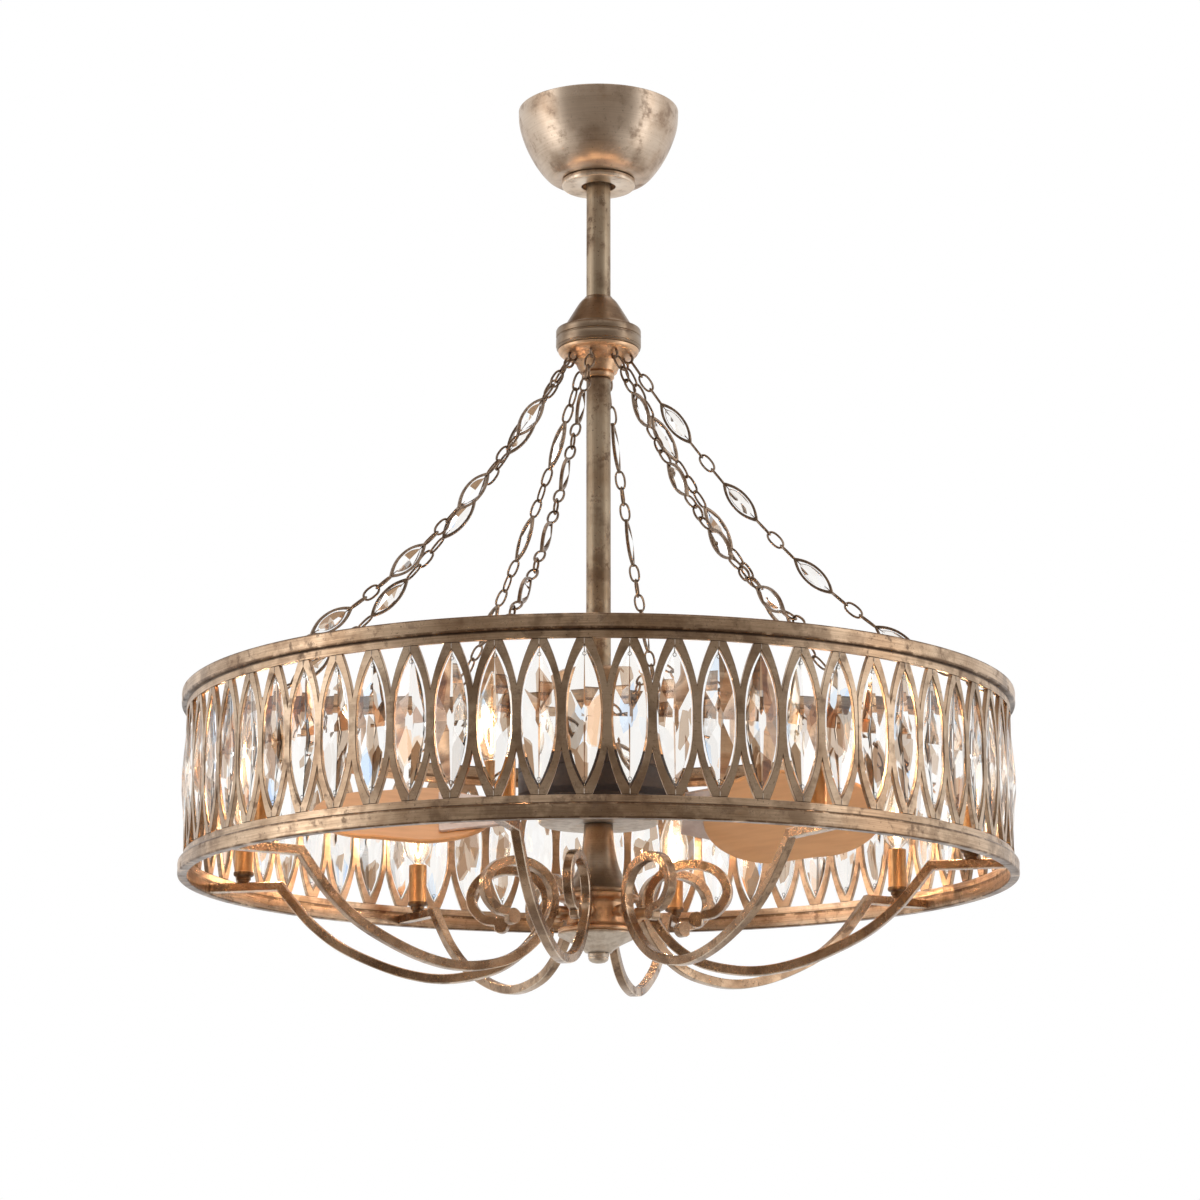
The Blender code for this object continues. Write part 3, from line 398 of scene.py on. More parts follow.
@dataclass(frozen=True)
class BulbFinish:
    """Clear lamp glass that glows round its filament."""

    name: str
    low: float
    high: float
    glow: Colour = (1.0, 0.80, 0.52)
    strength: float = 0.06

    def material(self) -> Material:
        """Build the material."""
        paint = Paint(self.name)
        middle = (self.low + self.high) / 2
        height = paint.height()
        rise = height.over(self.low, middle)
        fall = height.over(middle, self.high)
        glow = paint.blend(rise * (1 - fall), (0.12, 0.07, 0.03), self.glow)
        film = paint.noise(160.0, 2.0, 0.5)
        paint.set(Base_Color=(1.0, 0.98, 0.95), Roughness=film * 0.04, IOR=1.45, Transmission_Weight=1.0,
                  Emission_Color=glow, Emission_Strength=self.strength)
        return paint.material


@dataclass(frozen=True)
class GlowFinish:
    """A hot filament."""

    name: str
    colour: Colour = (1.0, 0.72, 0.38)
    strength: float = 60.0

    def material(self) -> Material:
        """Build the material."""
        paint = Paint(self.name)
        heat = paint.noise(900.0, 2.0, 0.5)
        hot = paint.blend(heat, self.colour, (1.0, 0.9, 0.7))
        paint.set(Base_Color=(0.2, 0.15, 0.1), Emission_Color=hot, Emission_Strength=self.strength)
        return paint.material


@dataclass(frozen=True)
class BladeFinish:
    """Satin tan lacquer with a soft grain along the blade."""

    name: str
    light: Colour = (0.72, 0.375, 0.165)
    deep: Colour = (0.56, 0.275, 0.115)

    def material(self) -> Material:
        """Build the material."""
        paint = Paint(self.name)
        grain = paint.noise(1.0, 4.0, 0.6, paint.stretched((11.0, 130.0, 130.0)))
        cloud = paint.noise(9.0, 3.0, 0.5)
        colour = paint.blend(grain.over(0.35, 0.7) * 0.4, self.light, self.deep)
        colour = paint.blend(cloud.over(0.45, 0.7) * 0.35, colour, self.deep)
        paint.set(Base_Color=colour, Roughness=0.34 + grain * 0.14, Metallic=0.35,
                  Coat_Weight=0.15 + cloud * 0.15)
        paint.bump(grain, 0.12, 0.0002)
        return paint.material


def clear_selection() -> None:
    """Deselect every object, so that an operator meets only its own."""
    if bpy.context.object and bpy.context.object.mode != 'OBJECT':
        bpy.ops.object.mode_set(mode='OBJECT')
    bpy.ops.object.select_all(action='DESELECT')


def pick(piece: Piece) -> None:
    """Make one object the only selected and active one."""
    clear_selection()
    piece.select_set(True)
    bpy.context.view_layer.objects.active = piece


def curved(points: Sequence[Pair], steps: int) -> list[Pair]:
    """Run a smooth line through points.

    Args:
        points: radius and height pairs.
        steps: how many pieces each span is cut into.

    Returns:
        The points of the line.
    """
    ends = [points[0], *points, points[-1]]
    line = []
    for index in range(len(points) - 1):
        before, start, end, after = (Vector(point) for point in ends[index:index + 4])
        for step in range(steps):
            t = step / steps
            spot = (2 * start + (end - before) * t + (2 * before - 5 * start + 4 * end - after) * t ** 2
                    + (3 * start - before - 3 * end + after) * t ** 3) / 2
            line.append((spot.x, spot.y))
    line.append(tuple(points[-1]))
    return line


def shares(pairs: Sequence[Pair], radius: float, top: float, drop: float) -> list[Pair]:
    """Radius and height pairs from shares of a radius and of a drop below a top."""
    return [(radius * wide, top - drop * down) for wide, down in pairs]


def near(radius: float, height: float, *steps: Pair) -> list[Pair]:
    """Points near a corner, each given by its millimetres out and up from it."""
    return [(radius + out * MILLIMETRE, height + up * MILLIMETRE) for out, up in steps]


def bored(outer: Sequence[Pair], bore: float, top: float) -> list[Pair]:
    """Close an outer profile, drawn downwards, by a bore of a radius up to a height."""
    return [*outer, (bore, outer[-1][1]), (bore, top)]


def round_edges(piece: Piece, width: float, segments: int = 2) -> None:
    """Bevel the sharp edges of a piece and shade it smooth between them.

    Args:
        piece: the object.
        width: the bevel's width; none for zero.
        segments: its facets.
    """
    pick(piece)
    if width:
        bevel = piece.modifiers.new("edges", 'BEVEL')
        bevel.width = width
        bevel.segments = segments
        bevel.limit_method = 'ANGLE'
        bevel.angle_limit = SMOOTH_ANGLE
        bpy.ops.object.modifier_apply(modifier=bevel.name)
    bpy.ops.object.shade_smooth_by_angle(angle=SMOOTH_ANGLE)


def weld() -> None:
    """Merge the doubled points of the mesh in edit mode and turn its faces outwards."""
    bpy.ops.mesh.select_all(action='SELECT')
    bpy.ops.mesh.remove_doubles(threshold=WELD)
    bpy.ops.mesh.normals_make_consistent(inside=False)


def turn_profile(name: str, profile: Sequence[Pair], segments: int, edge: float) -> Piece:
    """Model a round piece by extruding and scaling a circle along a closed profile.

    Args:
        name: the piece's name.
        profile: radius and height pairs; the last joins the first unless both lie on the axis.
        segments: facets round it.
        edge: the width of the bevel on its sharp edges.

    Returns:
        The piece.
    """
    clear_selection()
    closed = profile[0][0] > 0 or profile[-1][0] > 0
    line = [(max(radius, POLE_RADIUS), height) for radius, height in profile]
    if closed:
        line.append(line[0])
    radius, height = line[0]
    bpy.ops.mesh.primitive_circle_add(vertices=segments, radius=radius)
    piece = bpy.context.object
    piece.name = name
    bpy.ops.object.mode_set(mode='EDIT')
    bpy.ops.mesh.select_all(action='SELECT')
    bpy.ops.transform.translate(value=(0.0, 0.0, height))
    for (radius, height), (next_radius, next_height) in zip(line, line[1:]):
        bpy.ops.mesh.extrude_edges_move(TRANSFORM_OT_translate={"value": (0.0, 0.0, next_height - height)})
        wider = next_radius / radius
        bpy.ops.transform.resize(value=(wider, wider, 1.0), center_override=(0.0, 0.0, next_height))
    weld()
    bpy.ops.object.mode_set(mode='OBJECT')
    round_edges(piece, edge)
    return piece


def draw_curve(name: str, lines: Sequence[Sequence], closed: bool, **settings: object) -> Piece:
    """Draw a curve through lines of points and turn it into a mesh.

    Args:
        name: the piece's name.
        lines: the points of each line.
        closed: whether the ends of each line join.
        settings: the curve's properties.

    Returns:
        The mesh, selected and active.
    """
    clear_selection()
    curve = bpy.data.curves.new(name, 'CURVE')
    for key, value in settings.items():
        setattr(curve, key, value)
    for points in lines:
        spline = curve.splines.new('POLY')
        spline.points.add(len(points) - 1)
        for knot, point in zip(spline.points, points):
            knot.co = (*point, 1.0)
        spline.use_cyclic_u = closed
    piece = bpy.data.objects.new(name, curve)
    bpy.context.scene.collection.objects.link(piece)
    pick(piece)
    bpy.ops.object.convert(target='MESH')
    return bpy.context.object


def flat_plate(name: str, outlines: Sequence[Sequence[Pair]], thickness: float, edge: float) -> Piece:
    """Cut a flat plate from outlines in XY, with rounded edges and its thickness along Z.

    Args:
        name: the piece's name.
        outlines: closed outlines, holes among them.
        thickness: how thick the plate is.
        edge: the radius of its edges.

    Returns:
        The plate.
    """
    lines = [[(along, across, 0.0) for along, across in outline] for outline in outlines]
    plate = draw_curve(name, lines, True, dimensions='2D', fill_mode='BOTH', extrude=thickness / 2 - edge,
                       bevel_depth=edge, bevel_resolution=0, offset=-edge)
    bpy.ops.object.mode_set(mode='EDIT')
    weld()
    bpy.ops.object.mode_set(mode='OBJECT')
    return plate


def wire(name: str, points: Sequence[Vector], radius: float, closed: bool = False, sides: int = 2) -> Piece:
    """Draw a round wire through points.

    Args:
        name: the piece's name.
        points: where it runs.
        radius: half its thickness.
        closed: whether its ends join.
        sides: the fineness of its section.

    Returns:
        The wire as a mesh.
    """
    piece = draw_curve(name, [points], closed, dimensions='3D', bevel_depth=radius, bevel_resolution=sides,
                       use_fill_caps=True)
    bpy.ops.object.shade_smooth_by_angle(angle=WIRE_SMOOTH_ANGLE)
    return piece


def settle_place(piece: Piece, matrix: Matrix) -> Piece:
    """Put a place into a piece's mesh and leave its object at the origin."""
    piece.data.transform(matrix)
    piece.data.update()
    return piece


def shift(x: float, y: float, z: float) -> Matrix:
    """Move by a distance along each axis."""
    return Matrix.Translation((x, y, z))


def about(axis: str, angle: float) -> Matrix:
    """Turn about an axis."""
    return Matrix.Rotation(angle, 4, axis)


def arm_turn(angle: float) -> Matrix:
    """Turn what is built along +X to an azimuth counted from -Y towards +X."""
    return about('Z', angle - QUARTER_TURN)


def copy_piece(piece: Piece, name: str, matrix: Matrix) -> Piece:
    """Copy a piece with its own mesh, moved by a matrix."""
    twin = bpy.data.objects.new(name, piece.data.copy())
    bpy.context.scene.collection.objects.link(twin)
    return settle_place(twin, matrix)


def join_pieces(name: str, pieces: Sequence[Piece]) -> Piece:
    """Join objects into one piece."""
    clear_selection()
    for piece in pieces:
        piece.select_set(True)
    bpy.context.view_layer.objects.active = pieces[0]
    bpy.ops.object.join()
    whole = bpy.context.object
    whole.name = name
    return whole


def copy_round(piece: Piece, name: str) -> Piece:
    """Copy a piece to every arm, delete it and join the copies."""
    copies = [copy_piece(piece, name, arm_turn(math.tau * index / ARMS)) for index in range(ARMS)]
    remove(piece)
    return join_pieces(name, copies)


def remove(*pieces: Piece) -> None:
    """Delete working objects."""
    for piece in pieces:
        bpy.data.objects.remove(piece, do_unlink=True)


def finish_piece(piece: Piece, material: Material, slot: Slot, stands_for: Sequence[str] = (),
                 trim: Optional[Material] = None, body: Body = Body.FIXTURE) -> None:
    """Dress a piece and hang it on its body.

    Args:
        piece: the object.
        material: its finish.
        slot: the record's slot of its finish; not used.
        stands_for: the CAD nodes that it replaces.
        trim: the finish of the faces that mark_trim marked.
        body: the body that it rides on.
    """
    if trim:
        piece.data.materials[0], piece.data.materials[1] = material, trim
    else:
        piece.data.materials.clear()
        piece.data.materials.append(material)
    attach(piece, body.value)
    if stands_for:
        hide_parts(*stands_for)
    LOG.info("%s rides on %s, %d faces", piece.name, body.value, len(piece.data.polygons))


def mark_trim(piece: Piece, chosen: Callable[[bpy.types.MeshPolygon], bool]) -> None:
    """Give the chosen faces of a piece its second material.

    Args:
        piece: the object.
        chosen: whether a face is one of them.
    """
    piece.data.materials.clear()
    for _ in range(2):
        piece.data.materials.append(None)
    for face in piece.data.polygons:
        face.material_index = int(chosen(face))


def is_chamfer(slope: float) -> bool:
    """Whether a face that leans this much against a plate's axis is on its chamfered edge."""
    return 0.2 < abs(slope) < 0.95


def dress_node(node: str, material: Material) -> None:
    """Give a CAD node a finish."""
    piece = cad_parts[node]
    for slot in piece.material_slots:
        slot.material = material


class Finishes:
    """The materials that several sub-assemblies share."""

    def __init__(self) -> None:
        """Build each shared material once."""

        def leaf(name: str, light: Colour, warm: Colour, **values: object) -> Material:
            """A brushed leaf material."""
            return LeafFinish(name, light, warm, **values).material()

        def metal(name: str, *values: object) -> Material:
            """A plain metal material."""
            return PlainMetal(name, *values).material()

        self.canopy = leaf("canopy_leaf", (0.60, 0.485, 0.38), (0.44, 0.315, 0.22), wear=0.55, streaks=0.55,
                           roughness=0.31, shine=0.45)
        self.trim = leaf("trim_leaf", (0.78, 0.65, 0.52), (0.62, 0.48, 0.35), wear=0.5, streaks=0.5,
                         roughness=0.3)
        # Painted shade: a near-black copy of the frames' leaf for their chamfered edges, standing in for
        # bevels turned from the light.
        self.shaded_frame_edge = leaf("shaded_frame_edge", (0.20, 0.14, 0.095), (0.13, 0.085, 0.055), wear=0.4, streaks=0.2,
                               roughness=0.42)
        self.frame_leaf = leaf("frame_leaf", (0.58, 0.445, 0.32), (0.40, 0.275, 0.18), wear=0.9, streaks=0.6,
                               roughness=0.33)
        rims = tuple((height, 0.0021) for height in (-0.6712, -0.6852, -0.8534, -0.8674))
        # Heights of the steps between band and strip, where a painted shadow line goes.
        steps = tuple((height, 0.0011) for height in (-0.6866, -0.8520))
        self.ring_leaf = leaf("ring_leaf", (0.68, 0.50, 0.345), (0.40, 0.265, 0.165), streaks=1.5,
                              roughness=0.31, edges=rims, creases=steps)
        self.rod = leaf("rod_leaf", (0.41, 0.325, 0.23), (0.29, 0.205, 0.13), grain=Grain.UPRIGHT, wear=1.1,
                        streaks=0.7, roughness=0.46)
        self.hub = leaf("hub_bronze", (0.32, 0.24, 0.17), (0.21, 0.15, 0.10), wear=0.7, streaks=0.7,
                        roughness=0.33)
        self.orange_leaf = leaf("orange_leaf", (0.70, 0.46, 0.285), (0.52, 0.31, 0.17), wear=0.7, streaks=0.6,
                                roughness=0.34)
        self.bar_leaf = leaf("bar_leaf", (0.53, 0.375, 0.25), (0.25, 0.155, 0.095), grain=Grain.MATT,
                             wear=1.05, streaks=0.8, roughness=0.26)
        # Painted highlight: a paler copy of the arms' leaf for their chamfered edges, standing in for the
        # light that the edges catch.
        self.bar_edge = leaf("bar_edge", (0.80, 0.66, 0.52), (0.62, 0.46, 0.32), grain=Grain.MATT, wear=0.7,
                             streaks=0.3, roughness=0.26)
        self.chain = metal("bronze_wire", (0.30, 0.22, 0.16), (0.13, 0.09, 0.062), 0.32, 0.95, 260.0)
        self.crystal = CrystalFinish("cut_crystal").material()
        self.pin = metal("pin_steel", (0.62, 0.56, 0.50), (0.40, 0.34, 0.28), 0.25, 1.0, 900.0)
        self.zinc = metal("zinc_plate", (0.55, 0.56, 0.57), (0.42, 0.43, 0.45), 0.38, 1.0, 160.0)
        self.rubber = metal("seat_rubber", (0.03, 0.03, 0.032), (0.018, 0.018, 0.02), 0.75, 0.0, 300.0)
        self.motor = metal("motor_brown", (0.030, 0.018, 0.014), (0.018, 0.011, 0.009), 0.5, 0.2, 240.0)
        self.pale = metal("pale_champagne", (0.64, 0.55, 0.455), (0.46, 0.37, 0.285), 0.42, 0.85, 120.0)
        self.holder = metal("blade_holder", (0.70, 0.585, 0.53), (0.58, 0.46, 0.41), 0.42, 0.7, 60.0)
        self.sleeve = metal("sleeve_gold", (0.60, 0.325, 0.14), (0.48, 0.245, 0.10), 0.34, 0.9, 70.0, 0.05)
        self.neck = metal("neck_bronze", (0.20, 0.115, 0.06), (0.11, 0.06, 0.03), 0.36, 0.95, 300.0)
        self.blade = BladeFinish("blade_tan").material()
        self.filament = GlowFinish("hot_filament").material()


@dataclass
class Assembly:
    """A group of pieces that shares the fan's finishes."""

    finishes: Finishes

    def turned(self, name: str, profile: Sequence[Pair], material: Material, node: str, segments: int = 96,
               edge: float = EDGE, body: Body = Body.FIXTURE, slot: Slot = Slot.LEAF) -> None:
        """Model a round piece, dress it and let it replace its CAD node.

        Args:
            name: the piece's name.
            profile: its closed profile.
            material: its finish.
            node: the CAD node.
            segments: facets round it.
            edge: the width of the bevel on its sharp edges.
            body: the body that it rides on.
            slot: the record's slot of its finish.
        """
        finish_piece(turn_profile(name, profile, segments, edge), material, slot, [node], body=body)


@dataclass
class CeilingEnd(Assembly):
    """Canopy, trim ring and the hidden hanger."""

    radius: float = 0.0892
    top: float = -0.0005
    drop: float = 0.0803
    wall: float = 0.0016
    trim_radius: float = 0.0405
    trim_height: float = 0.0075
    trim_lip: float = 0.0045
    hole_radius: float = 0.01885
    dome: tuple = ((1.0, 0.0), (0.998, 0.08), (0.992, 0.18), (0.968, 0.30), (0.922, 0.45), (0.862, 0.60),
                   (0.785, 0.75), (0.70, 0.88), (0.625, 0.965), (0.56, 1.0))

    def build(self) -> None:
        """Model and dress the ceiling end."""
        outer = curved(shares(self.dome, self.radius, self.top, self.drop), 4)
        bottom = self.top - self.drop
        inner = [(radius - self.wall, min(height + self.wall, self.top)) for radius, height in outer]
        profile = outer + [(self.hole_radius, bottom), (self.hole_radius, bottom + self.wall)] + inner[::-1]
        self.turned("canopy_shell", profile, self.finishes.canopy, "canopy", 128, body=Body.MOUNT)
        self.build_trim(bottom - GAP)
        for node, material in (("hanger_bracket", self.finishes.zinc), ("hanger_ball", self.finishes.zinc),
                               ("ball_seat", self.finishes.rubber)):
            dress_node(node, material)

    def build_trim(self, top: float) -> None:
        """Model the raised ring round the rod hole, with a step at its top.

        Args:
            top: the height of its upper face.
        """
        foot = top - self.trim_height
        hole, wide = self.hole_radius, self.trim_radius
        profile = near(hole, top, (0, 0)) + near(wide - self.trim_lip, top, (0, 0), (0, -0.9))
        profile += near(wide, top, (0, -0.9)) + near(wide, foot, (0, 0.9), (-0.9, 0))
        profile += near(hole, foot, (0.7, 0), (0, 0.7))
        self.turned("canopy_trim", profile, self.finishes.trim, "canopy_ring", body=Body.MOUNT)


@dataclass
class RodAndHub(Assembly):
    """Down rods, the hub on them, and the eye bolts for the chains."""

    rod_radius: float = 0.01335
    rod_wall: float = 0.0027
    rod_top: float = -0.01315
    rod_bottom: float = -0.670
    hub_top: float = -0.2175
    cone_height: float = 0.037
    disc_radius: float = 0.0468
    disc_height: float = 0.0235
    bowl_height: float = 0.026
    collar_radius: float = 0.0172
    collar_height: float = 0.007
    eye_radius: float = 0.0048
    eye_wire: float = 0.0015
    eye_place: float = 0.0335
    eye_share: float = 0.46
    eye_lean: float = math.radians(35)
    cone: tuple = ((0.325, 0.0), (0.345, 0.04), (0.43, 0.15), (0.525, 0.33), (0.62, 0.53), (0.70, 0.70),
                   (0.765, 0.84))
    bowl: tuple = ((0.95, 0.0), (0.945, 0.08), (0.90, 0.19), (0.78, 0.31), (0.64, 0.42), (0.545, 0.55),
                   (0.50, 0.72), (0.455, 0.88), (0.43, 1.0))

    def build(self) -> None:
        """Model and dress the rods and the hub."""
        disc_top = self.hub_top - self.cone_height
        disc_bottom = disc_top - self.disc_height
        collar_bottom = disc_bottom - self.bowl_height - self.collar_height
        bore = self.rod_radius - self.rod_wall
        rods = (("down_rod_upper", "upper_rod", self.rod_top, disc_bottom + GAP),
                ("down_rod_lower", "lower_rod", collar_bottom - GAP, self.rod_bottom))
        for name, node, top, bottom in rods:
            profile = bored([(self.rod_radius, top), (self.rod_radius, bottom)], bore, top)
            self.turned(name, profile, self.finishes.rod, node, 64, 0.0005)
        self.build_cap(disc_top, disc_bottom + GAP)
        self.build_bowl(disc_bottom, collar_bottom, bore)

    def build_cap(self, top: float, bottom: float) -> None:
        """Model the cone and the grooved disc.

        Args:
            top: the height of the disc's upper edge.
            bottom: the height of its lower face.
        """
        wide = self.disc_radius
        outer = curved(shares(self.cone, wide, self.hub_top, self.cone_height), 3)
        outer += near(wide * 0.80, top, (0, 2.8)) + near(wide * 0.93, top, (0, 0))
        outer += near(wide, top, (-0.8, -0.6), (0, -2.2), (0, -8.8), (-1.3, -9.4), (-1.3, -10.6), (0, -11.2))
        outer += near(wide, bottom, (0, 3.4), (-1.2, 2.8), (-1.2, 2.0), (-0.4, 1.4), (-1.6, 0))
        profile = bored(outer, self.rod_radius + GAP, self.hub_top)
        self.turned("hub_cone", profile, self.finishes.hub, "hub_cap")

    def build_bowl(self, top: float, bottom: float, bore: float) -> None:
        """Model the bowl under the disc, its collar and its eye bolts.

        Args:
            top: the height of the bowl's rim.
            bottom: the height of the collar's lower face.
            bore: the radius of the hole through it.
        """
        outer = curved(shares(self.bowl, self.disc_radius, top, self.bowl_height), 3)
        outer += near(self.collar_radius, bottom + self.collar_height, (-0.6, 0), (0, -1.4))
        outer += near(self.collar_radius, bottom, (0, 1.2), (-1.2, 0))
        self.turned("hub_bowl", bored(outer, bore, top), self.finishes.orange_leaf, "chain_hub")
        self.build_eyes(top - self.bowl_height * self.eye_share)

    def build_eyes(self, height: float) -> None:
        """Model the eye bolt of each chain: ring, shank and nut.

        Args:
            height: the height of the rings' middles.
        """
        clear_selection()
        bpy.ops.mesh.primitive_torus_add(major_segments=28, minor_segments=10, major_radius=self.eye_radius,
                                         minor_radius=self.eye_wire)
        ring = bpy.context.object
        place = shift(self.eye_place, 0.0, height)
        settle_place(ring, place @ about('X', QUARTER_TURN))
        shank = turn_profile("shank", near(0, 0, (0, 0), (1.2, 0), (1.2, 7.5), (0, 7.5)), 12, 0.0)
        sides = near(0, 0, (0, 1.4), (4.0, 1.4), (4.7, 2.1), (4.7, 5.0), (4.0, 5.7), (0, 5.7))
        nut = turn_profile("nut", sides, 6, EDGE)
        lean = place @ about('Y', -self.eye_lean) @ shift(0.0, 0.0, self.eye_radius)
        bolt = join_pieces("eye_bolt", [ring, settle_place(shank, lean), settle_place(nut, lean)])
        round_edges(bolt, 0.0)
        finish_piece(copy_round(bolt, "eye_bolts"), self.finishes.chain, Slot.CHAIN)


@dataclass
class Marquise:
    """A long cut stone, ground to a narrow face or ridge with facets on each side."""

    half_width: float
    half_height: float
    half_depth: float
    girdle: float
    tip: float
    power: float = 2.4
    belt_share: float = 0.4
    table_share: float = 0.86
    points: int = 40

    def width_at(self, share: float) -> float:
        """Half the outline's width at a share of its height."""
        return self.half_width * (1 - abs(share) ** self.power)

    def facets(self) -> list[tuple[Vector, Vector]]:
        """A point and a normal of each facet, front and back."""
        middle = Vector((0.0, self.half_depth, 0.0))
        corner = self.width_at(self.belt_share)
        planes = [(Vector((0.0, -self.half_depth * self.table_share, 0.0)), Vector((0.0, -1.0, 0.0)))]
        for side in (1, -1):
            waist = Vector((side * self.half_width, self.girdle, 0.0))
            high = Vector((side * corner, self.girdle, self.half_height * self.belt_share))
            low = Vector((side * corner, self.girdle, -self.half_height * self.belt_share))
            corners = [(-1, high, low)]
            for end, spot in ((1, high), (-1, low)):
                tip = Vector((0.0, self.tip, end * self.half_height))
                corners += [(-1, tip, spot), (1, tip, waist)]
            for face, second, third in corners:
                normal = (second - middle).cross(third - middle).normalized()
                if normal.y < 0:
                    normal = -normal
                spot = Vector((0.0, face * middle.y, 0.0))
                planes.append((spot, Vector((normal.x, face * normal.y, normal.z))))
        return planes

    def build(self, name: str) -> Piece:
        """Model the stone in the XZ plane, with its depth along Y.

        Args:
            name: the object's name.

        Returns:
            The stone.
        """
        clear_selection()
        bpy.ops.mesh.primitive_cylinder_add(vertices=self.points, radius=1.0, depth=2 * self.half_depth,
                                            rotation=(QUARTER_TURN, 0.0, 0.0))
        bpy.ops.object.transform_apply(location=True, rotation=True, scale=True)
        stone = bpy.context.object
        stone.name = name
        for vertex in stone.data.vertices:
            share = max(-1.0, min(1.0, 2 / math.pi * math.asin(max(-1.0, min(1.0, vertex.co.z)))))
            side = 0.0 if abs(vertex.co.x) < WELD else math.copysign(1.0, vertex.co.x)
            vertex.co.x = side * self.width_at(share)
            vertex.co.z = self.half_height * share
        bpy.ops.object.mode_set(mode='EDIT')
        for place, normal in self.facets():
            bpy.ops.mesh.select_all(action='SELECT')
            bpy.ops.mesh.bisect(plane_co=place, plane_no=normal, use_fill=True, clear_outer=True)
        bpy.ops.mesh.select_all(action='SELECT')
        bpy.ops.mesh.remove_doubles(threshold=WELD)
        bpy.ops.mesh.dissolve_limited(angle_limit=FLAT_ANGLE)
        bpy.ops.mesh.normals_make_consistent(inside=False)
        bpy.ops.object.mode_set(mode='OBJECT')
        return stone


